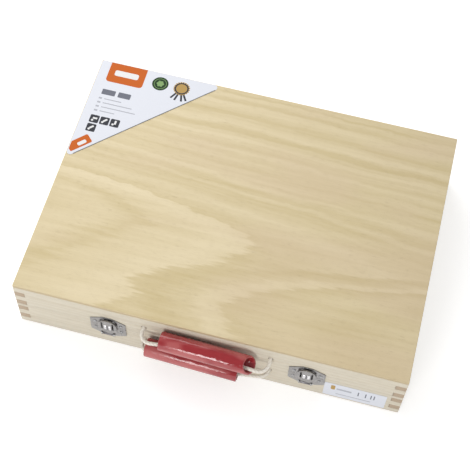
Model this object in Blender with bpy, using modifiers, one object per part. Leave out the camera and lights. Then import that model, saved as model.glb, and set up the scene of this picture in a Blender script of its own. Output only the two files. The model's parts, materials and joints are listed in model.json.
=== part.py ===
"""Toy tool box: two shallow wooden trays of equal height, hinged along the back and latched at the front.

Each tray has a cotton cord through its front wall, with a hollow red tube on it as the grip.
The origin is the centre of the base panel's underside. +X runs along the width, +Z is up, and the
latches and handles are on the -Y side.
"""
import math

import bmesh
import bpy
from mathutils import Matrix, Vector
from mathutils.geometry import interpolate_bezier

# Play between neighbours
CLEARANCE = 0.0003
SEAT_GAP = 0.0001
OVERRUN = 0.002
WELD = 0.000001

# Box: outer size, boards and finger joints
BOX_WIDTH = 0.370
BOX_DEPTH = 0.272
BASE_HEIGHT = 0.035
LID_HEIGHT = 0.035
WALL_THICKNESS = 0.010
PANEL_THICKNESS = 0.004
PANEL_ROUNDING = 0.0006
FINGER_HEIGHT = 0.0077
LEAST_FINGER_HEIGHT = 0.002

# Butt hinges on the back
HINGE_SPACING = 0.220
LEAF_WIDTH = 0.030
LEAF_HEIGHT = 0.014
LEAF_THICKNESS = 0.001
BARREL_RADIUS = 0.0024
BARREL_STANDOFF = 0.0004
HINGE_PIN_RADIUS = 0.001
HINGE_PIN_HEAD = 0.0005
HINGE_SCREW_SPACING = 0.020
HINGE_SCREW_RISE = 0.0095
HINGE_SCREW_RADIUS = 0.001
HINGE_SCREW_HEAD_RADIUS = 0.0023
HINGE_SCREW_HEAD_HEIGHT = 0.0008
HINGE_SCREW_LENGTH = 0.008

# Latches on the front
LATCH_SPACING = 0.190
LATCH_WIDTH = 0.0345
LATCH_SHEET = 0.0008
LATCH_PEAK_WIDTH = 0.009
LATCH_PEAK_ROUNDING = 0.006
LATCH_CORNER_ROUNDING = 0.0008
KEEPER_END_HEIGHT = 0.0095
KEEPER_PEAK_HEIGHT = 0.016
HOOK_WIDTH = 0.0084
HOOK_LOW = 0.003
HOOK_HIGH = 0.009
HOOK_STANDOFF = 0.0013
LATCH_BASE_END_HEIGHT = 0.012
LATCH_BASE_PEAK_HEIGHT = 0.0185
LATCH_PIN_DROP = 0.0115
LATCH_PIN_STANDOFF = 0.0028
LATCH_PIN_RADIUS = 0.00075
LATCH_PIN_HEAD_RADIUS = 0.0013
LATCH_PIN_HEAD = 0.0005
EAR_RADIUS = 0.0019
EAR_THICKNESS = 0.0012
FLAP_RADIUS = 0.009
FLAP_ARCH_RISE = 0.0165
FLAP_SHOULDER_RISE = 0.007
FLAP_NECK_RISE = 0.0034
FLAP_NECK_WIDTH = 0.0094
FLAP_BARREL_RADIUS = 0.0015
FLAP_SHEET_STANDOFF = 0.0026
FLAP_RIM_STANDOFF = 0.0016
SLOT_SPACING = 0.0105
SLOT_WIDTH = 0.0016
SLOT_ROUNDING = 0.0006
SLOT_LOW = 0.010
SLOT_HIGH = 0.022
LATCH_SCREW_SPACING = 0.025
KEEPER_SCREW_RISE = 0.005
LATCH_BASE_SCREW_DROP = 0.0065
LATCH_SCREW_RADIUS = 0.0008
LATCH_SCREW_HEAD_RADIUS = 0.0016
LATCH_SCREW_HEAD_HEIGHT = 0.0008
LATCH_SCREW_LENGTH = 0.007

# Cord handles with tube grips
CORD_DIAMETER = 0.0036
CORD_HOLE_PLAY = 0.0007
HOLE_SPACING = 0.120
UPPER_HOLE_RISE = 0.015
LOWER_HOLE_DROP = 0.009
KNOT_RADIUS = 0.0042
KNOT_PLAY = 0.0006
HANDLE_TRAVEL = 0.020
GRIP_RADIUS = 0.009
GRIP_BORE_RADIUS = 0.007
GRIP_ROUNDING = 0.0009
GRIP_EASE = 0.0003
GRIP_STANDOFF = 0.0116
UPPER_GRIP_LENGTH = 0.090
UPPER_GRIP_SHIFT = 0.0035
UPPER_GRIP_RISE = 0.003
LOWER_GRIP_LENGTH = 0.089
LOWER_GRIP_SHIFT = -0.011
LOWER_GRIP_RISE = 0.0055

# Each handle's cord from its left hole to its right one: along the front from the nearer hole,
# away from the wall's face, and above the hole
UPPER_CORD_LEFT = (
    (0.0, 0.0015, 0.0),
    (-0.0004, 0.0047, -0.0008),
    (0.0004, 0.0083, -0.0019),
    (0.0032, 0.0115, -0.0027),
    (0.0075, 0.0131, -0.0025),
    (0.0125, 0.0133, -0.0014),
    (0.0175, 0.0131, -0.0005),
    (0.0240, 0.0131, -0.0002),
)
UPPER_CORD_RIGHT = (
    (0.0, 0.0015, 0.0),
    (-0.0002, 0.0047, -0.0008),
    (0.0008, 0.0084, -0.0021),
    (0.0036, 0.0118, -0.0033),
    (0.0078, 0.0138, -0.0033),
    (0.0122, 0.0144, -0.0021),
    (0.0165, 0.0145, -0.0010),
    (0.0240, 0.0145, -0.0006),
)
LOWER_CORD_LEFT = (
    (0.0, 0.0015, 0.0),
    (-0.0006, 0.0044, -0.0002),
    (-0.0001, 0.0076, -0.0001),
    (0.0020, 0.0105, 0.0004),
    (0.0055, 0.0123, 0.0012),
    (0.0095, 0.0129, 0.0016),
    (0.0170, 0.0129, 0.0016),
)
LOWER_CORD_RIGHT = (
    (0.0, 0.0005, 0.0),
    (0.0009, 0.0042, -0.0003),
    (0.0036, 0.0072, -0.0007),
    (0.0074, 0.0089, -0.0008),
    (0.0135, 0.0102, -0.0002),
    (0.0220, 0.0118, 0.0009),
    (0.0320, 0.0131, 0.0015),
)

# Paper label on the lid's back left corner, its legs before the tips are rounded, and the sticker
# on the base's front, from the latch's side to an inset from the corner
PAPER_THICKNESS = 0.0002
LABEL_INSET = 0.0007
LABEL_WIDTH = 0.1275
LABEL_DEPTH = 0.1250
LABEL_TIP_ROUNDING = 0.0035
LABEL_CORNER_ROUNDING = 0.0015
STICKER_ROUNDING = 0.0015
STICKER_INSET = 0.014
STICKER_LIFT = 0.003
STICKER_DROP = 0.005

# Counts: sides of round pieces, points of arcs and of a cord between two route points, steps of
# a screw head's crown
ROUND_SIDES = 24
SCREW_SIDES = 12
GRIP_SIDES = 40
ARC_POINTS = 14
CORNER_POINTS = 6
KNOT_RINGS = 8
SPLINE_STEPS = 12
CROWN_STEPS = 4

# Angles in degrees: an edge turned by more is sharp; the grips stand off a little more at their
# right ends; the upper grip's right end is cut at a slant that faces the front and leans up
SHARP_ANGLE = 40
GRIP_YAW = 1.7
END_SLANT = 31
END_LEAN = 24

BOX_HEIGHT = BASE_HEIGHT + LID_HEIGHT
HALF_WIDTH = BOX_WIDTH / 2
HALF_DEPTH = BOX_DEPTH / 2
CORD_RADIUS = CORD_DIAMETER / 2
BASE_WALL_LOW = PANEL_THICKNESS + CLEARANCE
BASE_WALL_HIGH = BASE_HEIGHT - CLEARANCE / 2
LID_WALL_LOW = BASE_HEIGHT + CLEARANCE / 2
LID_WALL_HIGH = BOX_HEIGHT - PANEL_THICKNESS - CLEARANCE
BASE_HOLE_HEIGHT = BASE_HEIGHT - LOWER_HOLE_DROP
LID_HOLE_HEIGHT = BASE_HEIGHT + UPPER_HOLE_RISE
HINGE_AXIS_OUT = BARREL_STANDOFF + BARREL_RADIUS
HINGE_AXIS_Y = HALF_DEPTH + HINGE_AXIS_OUT
LATCH_PIN_HEIGHT = BASE_HEIGHT - LATCH_PIN_DROP

# Finishes: base colour, roughness, metallic
VENEER = ((0.66, 0.55, 0.34), 0.55, 0.0)
PLY_BASE = ((0.62, 0.52, 0.34), 0.6, 0.0)
WALL_WOOD = ((0.64, 0.57, 0.42), 0.6, 0.0)
NICKEL = ((0.62, 0.61, 0.58), 0.3, 1.0)
STEEL = ((0.55, 0.55, 0.54), 0.35, 1.0)
COTTON = ((0.82, 0.74, 0.60), 0.9, 0.0)
RED_PLASTIC = ((0.42, 0.02, 0.03), 0.15, 0.0)
PAPER = ((0.86, 0.86, 0.85), 0.45, 0.0)

# Local axes of a flat piece: X across it, Y up it and Z away from what it lies on
ON_FRONT = Matrix.Rotation(math.radians(90), 4, "X")
ON_BACK = Matrix.Rotation(math.radians(180), 4, "Z") @ ON_FRONT
ON_RIGHT = Matrix.Rotation(math.radians(90), 4, "Z") @ ON_FRONT
ON_TOP = Matrix.Identity(4)
ALONG_X = Matrix.Rotation(math.radians(90), 4, "Y")


def clear_scene():
    """Remove what the open scene holds."""
    for item in list(bpy.data.objects):
        bpy.data.objects.remove(item, do_unlink=True)


def new_collection(name, hidden=False):
    """A collection under the scene's own one."""
    group = bpy.data.collections.new(name)
    bpy.context.scene.collection.children.link(group)
    group.hide_render = hidden
    return group


def at(x, y, z):
    """The transform of a plain move."""
    return Matrix.Translation(Vector((x, y, z)))


# Meshes in their own local axes


def box_mesh(low, high):
    """A box between two opposite corners."""
    shape = bmesh.new()
    bmesh.ops.create_cube(shape, size=1.0)
    size = [b - a for a, b in zip(low, high)]
    middle = [(a + b) / 2 for a, b in zip(low, high)]
    bmesh.ops.transform(shape, matrix=at(*middle) @ Matrix.Diagonal((*size, 1.0)), verts=shape.verts)
    return finished(shape)


def cylinder_mesh(radius, low, high, sides=ROUND_SIDES):
    """A closed cylinder along the local Z axis."""
    shape = bmesh.new()
    bmesh.ops.create_cone(shape, cap_ends=True, segments=sides, radius1=radius, radius2=radius,
                          depth=high - low, matrix=at(0, 0, (low + high) / 2))
    return finished(shape)


def ball_mesh(radius, centre):
    """A sphere, for a knot."""
    shape = bmesh.new()
    bmesh.ops.create_uvsphere(shape, u_segments=2 * KNOT_RINGS, v_segments=KNOT_RINGS,
                              radius=radius, matrix=at(*centre))
    return finished(shape)


def finished(shape):
    """The mesh of a bmesh, which is then freed."""
    mesh = bpy.data.meshes.new("shape")
    shape.to_mesh(mesh)
    shape.free()
    return mesh


def mesh_of_curve(curve, flat_caps=False):
    """A closed mesh of a curve's tube or plate, with its loose caps welded on, each as one face if asked."""
    drawn = bpy.data.objects.new("outline", curve)
    bpy.context.scene.collection.objects.link(drawn)
    bpy.context.view_layer.update()
    evaluated = drawn.evaluated_get(bpy.context.evaluated_depsgraph_get())
    mesh = bpy.data.meshes.new_from_object(evaluated)
    mesh.transform(drawn.matrix_world)
    bpy.data.objects.remove(drawn, do_unlink=True)
    bpy.data.curves.remove(curve)
    shape = bmesh.new()
    shape.from_mesh(mesh)
    bmesh.ops.remove_doubles(shape, verts=shape.verts, dist=WELD)
    if flat_caps:
        for side in (-1, 1):
            cap = [face for face in shape.faces if all(v.co.z * side > WELD for v in face.verts)]
            bmesh.ops.dissolve_faces(shape, faces=cap)
    bmesh.ops.recalc_face_normals(shape, faces=shape.faces)
    shape.to_mesh(mesh)
    shape.free()
    return mesh


def plate_mesh(outline, low, high):
    """A flat plate between two heights."""
    curve = bpy.data.curves.new("outline", "CURVE")
    curve.dimensions = "2D"
    curve.fill_mode = "BOTH"
    curve.extrude = (high - low) / 2
    spline = curve.splines.new("POLY")
    spline.points.add(len(outline) - 1)
    spline.use_cyclic_u = True
    for point, (x, y) in zip(spline.points, outline):
        point.co = (x, y, 0, 1)
    mesh = mesh_of_curve(curve, flat_caps=True)
    mesh.transform(at(0, 0, (low + high) / 2))
    return mesh


def tube_mesh(points, radius):
    """A round tube along a line of points."""
    curve = bpy.data.curves.new("cord", "CURVE")
    curve.dimensions = "3D"
    curve.bevel_depth = radius
    curve.bevel_resolution = 2
    curve.use_fill_caps = True
    spline = curve.splines.new("POLY")
    spline.points.add(len(points) - 1)
    for point, place in zip(spline.points, points):
        point.co = (*place, 1)
    return mesh_of_curve(curve)


def profile_mesh(points, closed=False):
    """The bare edge line that a Screw modifier turns about the local Z axis."""
    count = len(points)
    edges = [(i, i + 1) for i in range(count - 1)]
    if closed:
        edges.append((count - 1, 0))
    mesh = bpy.data.meshes.new("profile")
    mesh.from_pydata([(radius, 0, height) for radius, height in points], edges, [])
    return mesh


# Outlines, as lists of points in a plate's own plane


def arc(centre, radius, start, end, count):
    """Points of an arc, with its angles in degrees, both ends included."""
    angles = [math.radians(start + (end - start) * i / (count - 1)) for i in range(count)]
    return [(centre[0] + radius * math.cos(a), centre[1] + radius * math.sin(a)) for a in angles]


def rounded(corners, radii):
    """A polygon whose corners, listed anticlockwise, are each replaced by an arc."""
    points = []
    for i, corner in enumerate(corners):
        here = Vector(corner)
        back = (Vector(corners[i - 1]) - here).normalized()
        on = (Vector(corners[(i + 1) % len(corners)]) - here).normalized()
        half = back.angle(on) / 2
        middle = here + (back + on).normalized() * radii[i] / math.sin(half)
        first = here + back * radii[i] / math.tan(half) - middle
        last = here + on * radii[i] / math.tan(half) - middle
        start = math.degrees(math.atan2(first.y, first.x))
        turn = math.degrees(math.atan2(last.y, last.x)) - start
        points += arc(middle, radii[i], start, start + turn % 360, CORNER_POINTS)
    return points


def gabled(low, side, top):
    """A latch plate's outline: a straight lower edge, short sides and two slopes up to a blunt peak."""
    half = LATCH_WIDTH / 2
    peak = LATCH_PEAK_WIDTH / 2
    corner = LATCH_CORNER_ROUNDING
    blunt = LATCH_PEAK_ROUNDING
    corners = [(-half, low), (half, low), (half, side), (peak, top), (-peak, top), (-half, side)]
    return rounded(corners, [corner, corner, corner, blunt, blunt, corner])


def finger_edges(low, high, anchor):
    """Heights from the lower to the upper edge of a wall, with each change of fingers between them."""
    first = math.ceil((low + LEAST_FINGER_HEIGHT - anchor) / FINGER_HEIGHT)
    last = math.floor((high - LEAST_FINGER_HEIGHT - anchor) / FINGER_HEIGHT)
    return [low] + [anchor + k * FINGER_HEIGHT for k in range(first, last + 1)] + [high]


def comb(half_length, edges, lowest_is_full):
    """A wall seen square on: both ends step between full fingers and the slots for the other wall."""
    slot = half_length - WALL_THICKNESS - CLEARANCE
    right = []
    full = lowest_is_full
    for i in range(len(edges) - 1):
        inward = CLEARANCE / 2 if full else -CLEARANCE / 2
        low = edges[i] + (inward if i > 0 else 0)
        high = edges[i + 1] - (inward if i < len(edges) - 2 else 0)
        reach = half_length if full else slot
        right += [(reach, low), (reach, high)]
        full = not full
    return right + [(-x, z) for x, z in reversed(right)]


# Objects


def finish(name, colour, roughness, metallic):
    """A plain material."""
    material = bpy.data.materials.new(name)
    material.use_nodes = True
    shader = material.node_tree.nodes["Principled BSDF"]
    shader.inputs["Base Color"].default_value = (*colour, 1)
    shader.inputs["Roughness"].default_value = roughness
    shader.inputs["Metallic"].default_value = metallic
    return material


def add_part(name, mesh, look, place, body=None, round_piece=False):
    """Put a named piece in the model, carried by the empty of the body that it moves with."""
    part = bpy.data.objects.new(name, mesh)
    if not mesh.materials:
        mesh.materials.append(finish(name, *look))
    mesh.name = name
    PARTS.objects.link(part)
    part.matrix_basis = place
    if body is not None:
        part.parent = body
        part.matrix_parent_inverse = Matrix.Translation(-body.location)
    if round_piece:
        mesh.shade_smooth()
        mesh.set_sharp_from_angle(angle=math.radians(SHARP_ANGLE))
    return part


def add_axis(name, x, y, z):
    """An empty on a joint's axis."""
    axis = bpy.data.objects.new(name, None)
    axis.empty_display_size = WALL_THICKNESS
    PARTS.objects.link(axis)
    axis.location = (x, y, z)
    return axis


def shape_with(part, mesh, place, operation):
    """Cut a mesh out of a part, or join it on, with a Boolean."""
    tool = bpy.data.objects.new(part.name + "_tool", mesh)
    TOOLS.objects.link(tool)
    tool.matrix_basis = place
    tool.hide_render = True
    tool.display_type = "WIRE"
    boolean = part.modifiers.new(operation.lower(), "BOOLEAN")
    boolean.operation = operation
    boolean.solver = "EXACT"
    boolean.object = tool


def cut(part, mesh, place):
    """Take a shape out of a part."""
    shape_with(part, mesh, place, "DIFFERENCE")


def join(part, mesh, place):
    """Add a shape to a part."""
    shape_with(part, mesh, place, "UNION")


def round_edges(part, width):
    """Ease the sharp edges of a part."""
    bevel = part.modifiers.new("rounding", "BEVEL")
    bevel.width = width
    bevel.segments = 2
    bevel.limit_method = "ANGLE"
    bevel.angle_limit = math.radians(SHARP_ANGLE)


def turn(part, steps):
    """Turn a profile about its local Z axis."""
    screw = part.modifiers.new("turning", "SCREW")
    screw.axis = "Z"
    screw.steps = steps
    screw.render_steps = steps
    screw.use_merge_vertices = True
    screw.merge_threshold = WELD


# Trays


def add_panel(name, look, low, body=None):
    """The sheet that closes a tray, over the full width and depth."""
    mesh = box_mesh((-HALF_WIDTH, -HALF_DEPTH, 0), (HALF_WIDTH, HALF_DEPTH, PANEL_THICKNESS))
    panel = add_part(name, mesh, look, at(0, 0, low), body)
    round_edges(panel, PANEL_ROUNDING)


def add_walls(tray, low, high, anchor, front_lowest_full, body=None):
    """The four walls of a tray, joined at the corners with fingers."""
    edges = finger_edges(low, high, anchor)
    long_outline = comb(HALF_WIDTH, edges, front_lowest_full)
    short_outline = comb(HALF_DEPTH, edges, not front_lowest_full)
    walls = {}
    for side, outline, place in (
        ("front", long_outline, at(0, -HALF_DEPTH, 0) @ ON_FRONT),
        ("back", long_outline, at(0, HALF_DEPTH, 0) @ ON_BACK),
        ("left", short_outline, at(-HALF_WIDTH + WALL_THICKNESS, 0, 0) @ ON_RIGHT),
        ("right", short_outline, at(HALF_WIDTH, 0, 0) @ ON_RIGHT),
    ):
        mesh = plate_mesh(outline, -WALL_THICKNESS, 0)
        walls[side] = add_part(f"{tray}_{side}_wall", mesh, WALL_WOOD, place, body)
    return walls


def cord_holes(height):
    """Two round holes through a front wall."""
    holes = []
    for side in (-1, 1):
        hole = cylinder_mesh(CORD_RADIUS + CORD_HOLE_PLAY, -WALL_THICKNESS - OVERRUN, OVERRUN)
        hole.transform(at(side * HOLE_SPACING / 2, -HALF_DEPTH, height) @ ON_FRONT)
        holes.append(hole)
    return holes


def drill(wall, holes):
    """Cut all holes of a wall in one go."""
    whole = bmesh.new()
    for hole in holes:
        whole.from_mesh(hole)
        bpy.data.meshes.remove(hole)
    cut(wall, finished(whole), Matrix.Identity(4))


# Screws


def screw_profile(head_radius, head_height, shank_radius, length):
    """A round-headed screw from the top of its head, with its seat at height zero."""
    crown = [(0, head_height)]
    for i in range(1, CROWN_STEPS):
        angle = math.radians(90 * i / CROWN_STEPS)
        crown.append((head_radius * math.sin(angle), head_height * math.cos(angle)))
    return crown + [(head_radius, 0), (shank_radius, 0), (shank_radius, shank_radius - length), (0, -length)]


def hinge_screw_profile():
    """The hinge's screw."""
    return screw_profile(HINGE_SCREW_HEAD_RADIUS, HINGE_SCREW_HEAD_HEIGHT, HINGE_SCREW_RADIUS,
                         HINGE_SCREW_LENGTH)


def latch_screw_profile():
    """The latch's screw."""
    return screw_profile(LATCH_SCREW_HEAD_RADIUS, LATCH_SCREW_HEAD_HEIGHT, LATCH_SCREW_RADIUS,
                         LATCH_SCREW_LENGTH)


def add_screw(name, profile, holes, x, face, z, way, plate, radius, length, body=None):
    """A screw through a plate on a wall's face, with its pilot hole put to the wall's other holes."""
    seat = SEAT_GAP + plate + SEAT_GAP
    screw = add_part(name, profile_mesh(profile), STEEL, at(x, face, z) @ way @ at(0, 0, seat), body,
                     round_piece=True)
    turn(screw, SCREW_SIDES)
    pilot = cylinder_mesh(radius + CLEARANCE, seat - length - CLEARANCE, OVERRUN, SCREW_SIDES)
    pilot.transform(at(x, face, z) @ way)
    holes.append(pilot)


def cut_screw_holes(plate, place, spacing, rise, radius):
    """Two holes side by side through a plate."""
    for side in (-1, 1):
        hole = cylinder_mesh(radius + CLEARANCE, -OVERRUN, OVERRUN, SCREW_SIDES)
        cut(plate, hole, place @ at(side * spacing / 2, rise, 0))


# Hinges


def leaf_outline(knuckles_outside):
    """A leaf's outline from the barrel's axis up, with tongues just inside the ends of its knuckles."""
    half = LEAF_WIDTH / 2 - SEAT_GAP
    knuckle = (LEAF_WIDTH - 2 * CLEARANCE) / 3
    inner = knuckle / 2 - SEAT_GAP
    clear = BARREL_RADIUS + CLEARANCE
    top = [(half, LEAF_HEIGHT), (-half, LEAF_HEIGHT)]
    if knuckles_outside:
        inner = knuckle / 2 + CLEARANCE + SEAT_GAP
        return [(-half, 0), (-inner, 0), (-inner, clear), (inner, clear), (inner, 0), (half, 0)] + top
    return [(-half, clear), (-inner, clear), (-inner, 0), (inner, 0), (inner, clear), (half, clear)] + top


def knuckle_spans(knuckles_outside):
    """The stretches along the pin that a leaf's knuckles take."""
    knuckle = (LEAF_WIDTH - 2 * CLEARANCE) / 3
    if knuckles_outside:
        return [(-LEAF_WIDTH / 2, -LEAF_WIDTH / 2 + knuckle), (LEAF_WIDTH / 2 - knuckle, LEAF_WIDTH / 2)]
    return [(-knuckle / 2, knuckle / 2)]


def add_leaf(name, x, upward, body=None):
    """One leaf with its knuckles: the lid's has the middle one and the base's the outer two."""
    outside = upward < 0
    mesh = plate_mesh(leaf_outline(outside), SEAT_GAP, SEAT_GAP + LEAF_THICKNESS)
    if outside:
        mesh.transform(Matrix.Rotation(math.radians(180), 4, "Z"))
    place = at(x, HALF_DEPTH, BASE_HEIGHT) @ ON_BACK
    leaf = add_part(name, mesh, STEEL, place, body, round_piece=True)
    cut_screw_holes(leaf, place, HINGE_SCREW_SPACING, upward * HINGE_SCREW_RISE, HINGE_SCREW_RADIUS)
    axis = at(x, HINGE_AXIS_Y, BASE_HEIGHT) @ ALONG_X
    for low, high in knuckle_spans(outside):
        join(leaf, cylinder_mesh(BARREL_RADIUS, low, high), axis)
    bore = cylinder_mesh(HINGE_PIN_RADIUS + CLEARANCE, -LEAF_WIDTH, LEAF_WIDTH)
    cut(leaf, bore, axis)


def pin_profile(radius, half_length, head_radius, head):
    """A pin with a flat head at each end, from its upper end down."""
    end = half_length + head
    return [(0, end), (head_radius, end), (head_radius, half_length), (radius, half_length),
            (radius, -half_length), (head_radius, -half_length), (head_radius, -end), (0, -end)]


def add_hinge(side, number, base_holes, lid_holes, lid_axis):
    """A butt hinge with its pin and four screws."""
    x = side * HINGE_SPACING / 2
    add_leaf(f"hinge_base_leaf_{number}", x, -1)
    add_leaf(f"hinge_lid_leaf_{number}", x, 1, lid_axis)
    profile = pin_profile(HINGE_PIN_RADIUS, LEAF_WIDTH / 2 + CLEARANCE, BARREL_RADIUS - CLEARANCE,
                          HINGE_PIN_HEAD)
    pin = add_part(f"hinge_pin_{number}", profile_mesh(profile), STEEL,
                   at(x, HINGE_AXIS_Y, BASE_HEIGHT) @ ALONG_X, round_piece=True)
    turn(pin, ROUND_SIDES)
    for tray, holes, rise, body in (("base", base_holes, -1, None), ("lid", lid_holes, 1, lid_axis)):
        for place, across in (("left", -1), ("right", 1)):
            add_screw(f"hinge_{tray}_screw_{number}_{place}", hinge_screw_profile(), holes,
                      x + across * HINGE_SCREW_SPACING / 2, HALF_DEPTH,
                      BASE_HEIGHT + rise * HINGE_SCREW_RISE, ON_BACK, LEAF_THICKNESS,
                      HINGE_SCREW_RADIUS, HINGE_SCREW_LENGTH, body)


# Latches


def add_keeper(name, x, body):
    """The lid's plate with a peaked top and the low hook that the flap's cup goes over."""
    outline = gabled(CLEARANCE / 2, KEEPER_END_HEIGHT, KEEPER_PEAK_HEIGHT)
    mesh = plate_mesh(outline, SEAT_GAP, SEAT_GAP + LATCH_SHEET)
    place = at(x, -HALF_DEPTH, BASE_HEIGHT) @ ON_FRONT
    keeper = add_part(name, mesh, NICKEL, place, body)
    cut_screw_holes(keeper, place, LATCH_SCREW_SPACING, KEEPER_SCREW_RISE, LATCH_SCREW_RADIUS)
    hook = box_mesh((-HOOK_WIDTH / 2, HOOK_LOW, SEAT_GAP + LATCH_SHEET / 2),
                    (HOOK_WIDTH / 2, HOOK_HIGH, HOOK_STANDOFF))
    join(keeper, hook, place)


def add_latch_base(name, x):
    """The base's plate with a peaked lower edge and two ears that hold the pin."""
    outline = gabled(CLEARANCE / 2, LATCH_BASE_END_HEIGHT, LATCH_BASE_PEAK_HEIGHT)
    mesh = plate_mesh(outline, SEAT_GAP, SEAT_GAP + LATCH_SHEET)
    mesh.transform(Matrix.Rotation(math.radians(180), 4, "Z"))
    place = at(x, -HALF_DEPTH, BASE_HEIGHT) @ ON_FRONT
    plate = add_part(name, mesh, NICKEL, place)
    cut_screw_holes(plate, place, LATCH_SCREW_SPACING, -LATCH_BASE_SCREW_DROP, LATCH_SCREW_RADIUS)
    reach = LATCH_PIN_STANDOFF - SEAT_GAP - LATCH_SHEET / 2
    ear = [(reach, -EAR_RADIUS)] + arc((0, 0), EAR_RADIUS, 270, 90, ARC_POINTS) + [(reach, EAR_RADIUS)]
    inner = FLAP_NECK_WIDTH / 2 + CLEARANCE
    pin = at(x, -HALF_DEPTH - LATCH_PIN_STANDOFF, LATCH_PIN_HEIGHT)
    for low in (-inner - EAR_THICKNESS, inner):
        join(plate, plate_mesh(ear, low, low + EAR_THICKNESS), pin @ ON_RIGHT)
    bore = cylinder_mesh(LATCH_PIN_RADIUS + CLEARANCE, -LATCH_WIDTH, LATCH_WIDTH)
    cut(plate, bore, pin @ ALONG_X)


def flap_outline(inset, low):
    """The flap from its neck up to the round top, drawn in by the inset."""
    radius = FLAP_RADIUS - inset
    neck = FLAP_NECK_WIDTH / 2 - inset
    top = arc((0, FLAP_ARCH_RISE), radius, 0, 180, 2 * ARC_POINTS)
    right = [(neck, low), (neck, FLAP_NECK_RISE + inset)]
    shoulder = [(radius, FLAP_SHOULDER_RISE + inset / 2)]
    left = [(-x, z) for x, z in reversed(right + shoulder)]
    return right + shoulder + top + left


def add_flap(name, body):
    """The pressed flap: a cup with a rim turned back towards the plates, two slots and a barrel."""
    front = FLAP_SHEET_STANDOFF + LATCH_SHEET - LATCH_PIN_STANDOFF
    inside = FLAP_SHEET_STANDOFF - LATCH_PIN_STANDOFF
    rim = FLAP_RIM_STANDOFF - LATCH_PIN_STANDOFF
    neck = FLAP_NECK_WIDTH / 2
    place = at(*body.location) @ ON_FRONT
    flap = add_part(name, plate_mesh(flap_outline(0, 0), rim, front), NICKEL, place, body)
    cup = plate_mesh(flap_outline(LATCH_SHEET, FLAP_NECK_RISE), rim - OVERRUN, inside)
    cut(flap, cup, place)
    for side in (-1, 1):
        left = (side * SLOT_SPACING - SLOT_WIDTH) / 2
        right = left + SLOT_WIDTH
        slot = rounded([(left, SLOT_LOW), (right, SLOT_LOW), (right, SLOT_HIGH), (left, SLOT_HIGH)],
                       [SLOT_ROUNDING] * 4)
        cut(flap, plate_mesh(slot, rim - OVERRUN, front + OVERRUN), place)
    join(flap, cylinder_mesh(FLAP_BARREL_RADIUS, -neck, neck), at(*body.location) @ ALONG_X)
    bore = cylinder_mesh(LATCH_PIN_RADIUS + CLEARANCE, -LATCH_WIDTH, LATCH_WIDTH)
    cut(flap, bore, at(*body.location) @ ALONG_X)


def add_latch(side, number, base_holes, lid_holes, lid_axis):
    """A latch: keeper, base plate, flap, pin and four screws."""
    x = side * LATCH_SPACING / 2
    add_keeper(f"latch_keeper_{number}", x, lid_axis)
    add_latch_base(f"latch_base_plate_{number}", x)
    axis = add_axis(f"latch_axis_{number}", x, -HALF_DEPTH - LATCH_PIN_STANDOFF, LATCH_PIN_HEIGHT)
    add_flap(f"latch_flap_{number}", axis)
    half = FLAP_NECK_WIDTH / 2 + CLEARANCE + EAR_THICKNESS + CLEARANCE
    profile = pin_profile(LATCH_PIN_RADIUS, half, LATCH_PIN_HEAD_RADIUS, LATCH_PIN_HEAD)
    pin = add_part(f"latch_pin_{number}", profile_mesh(profile), STEEL,
                   at(*axis.location) @ ALONG_X, round_piece=True)
    turn(pin, SCREW_SIDES)
    for tray, holes, height, body in (
        ("base", base_holes, BASE_HEIGHT - LATCH_BASE_SCREW_DROP, None),
        ("keeper", lid_holes, BASE_HEIGHT + KEEPER_SCREW_RISE, lid_axis),
    ):
        for place, across in (("left", -1), ("right", 1)):
            add_screw(f"latch_{tray}_screw_{number}_{place}", latch_screw_profile(), holes,
                      x + across * LATCH_SCREW_SPACING / 2, -HALF_DEPTH, height, ON_FRONT,
                      LATCH_SHEET, LATCH_SCREW_RADIUS, LATCH_SCREW_LENGTH, body)


# Handles


def smooth_line(route):
    """Points of a smooth curve through the points of a route."""
    steps = [end - start for start, end in zip(route, route[1:])]
    lengths = [step.length for step in steps]
    slopes = [step / length for step, length in zip(steps, lengths)]
    tangents = [slopes[0]]
    for i in range(1, len(slopes)):
        share = lengths[i - 1] / (lengths[i - 1] + lengths[i])
        tangents.append(slopes[i - 1].lerp(slopes[i], share))
    tangents.append(slopes[-1])
    line = [route[0]]
    for i, length in enumerate(lengths):
        leave = route[i] + tangents[i] * length / 3
        arrive = route[i + 1] - tangents[i + 1] * length / 3
        line += interpolate_bezier(route[i], leave, arrive, route[i + 1], SPLINE_STEPS + 1)[1:]
    return line


def evenly_spaced(line, spacing):
    """Points along a line, each about a spacing from the last."""
    lengths = [0.0]
    for start, end in zip(line, line[1:]):
        lengths.append(lengths[-1] + (end - start).length)
    count = max(2, round(lengths[-1] / spacing))
    points = []
    k = 0
    for i in range(count + 1):
        target = lengths[-1] * i / count
        while k < len(line) - 2 and lengths[k + 1] < target:
            k += 1
        share = (target - lengths[k]) / (lengths[k + 1] - lengths[k])
        points.append(line[k].lerp(line[k + 1], share))
    return points


def cord_line(left, right, height):
    """A handle's cord from knot to knot, in the model's axes."""
    face = -HALF_DEPTH
    half = HOLE_SPACING / 2
    knot = face + WALL_THICKNESS + HANDLE_TRAVEL + KNOT_RADIUS + KNOT_PLAY
    inside = face + WALL_THICKNESS
    route = [Vector((-half, knot, height)), Vector((-half, inside, height))]
    route += [Vector((-half + along, face - out, height + rise)) for along, out, rise in left]
    route += [Vector((half - along, face - out, height + rise)) for along, out, rise in reversed(right)]
    route += [Vector((half, inside, height)), Vector((half, knot, height))]
    return evenly_spaced(smooth_line(route), CORD_DIAMETER)


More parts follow.
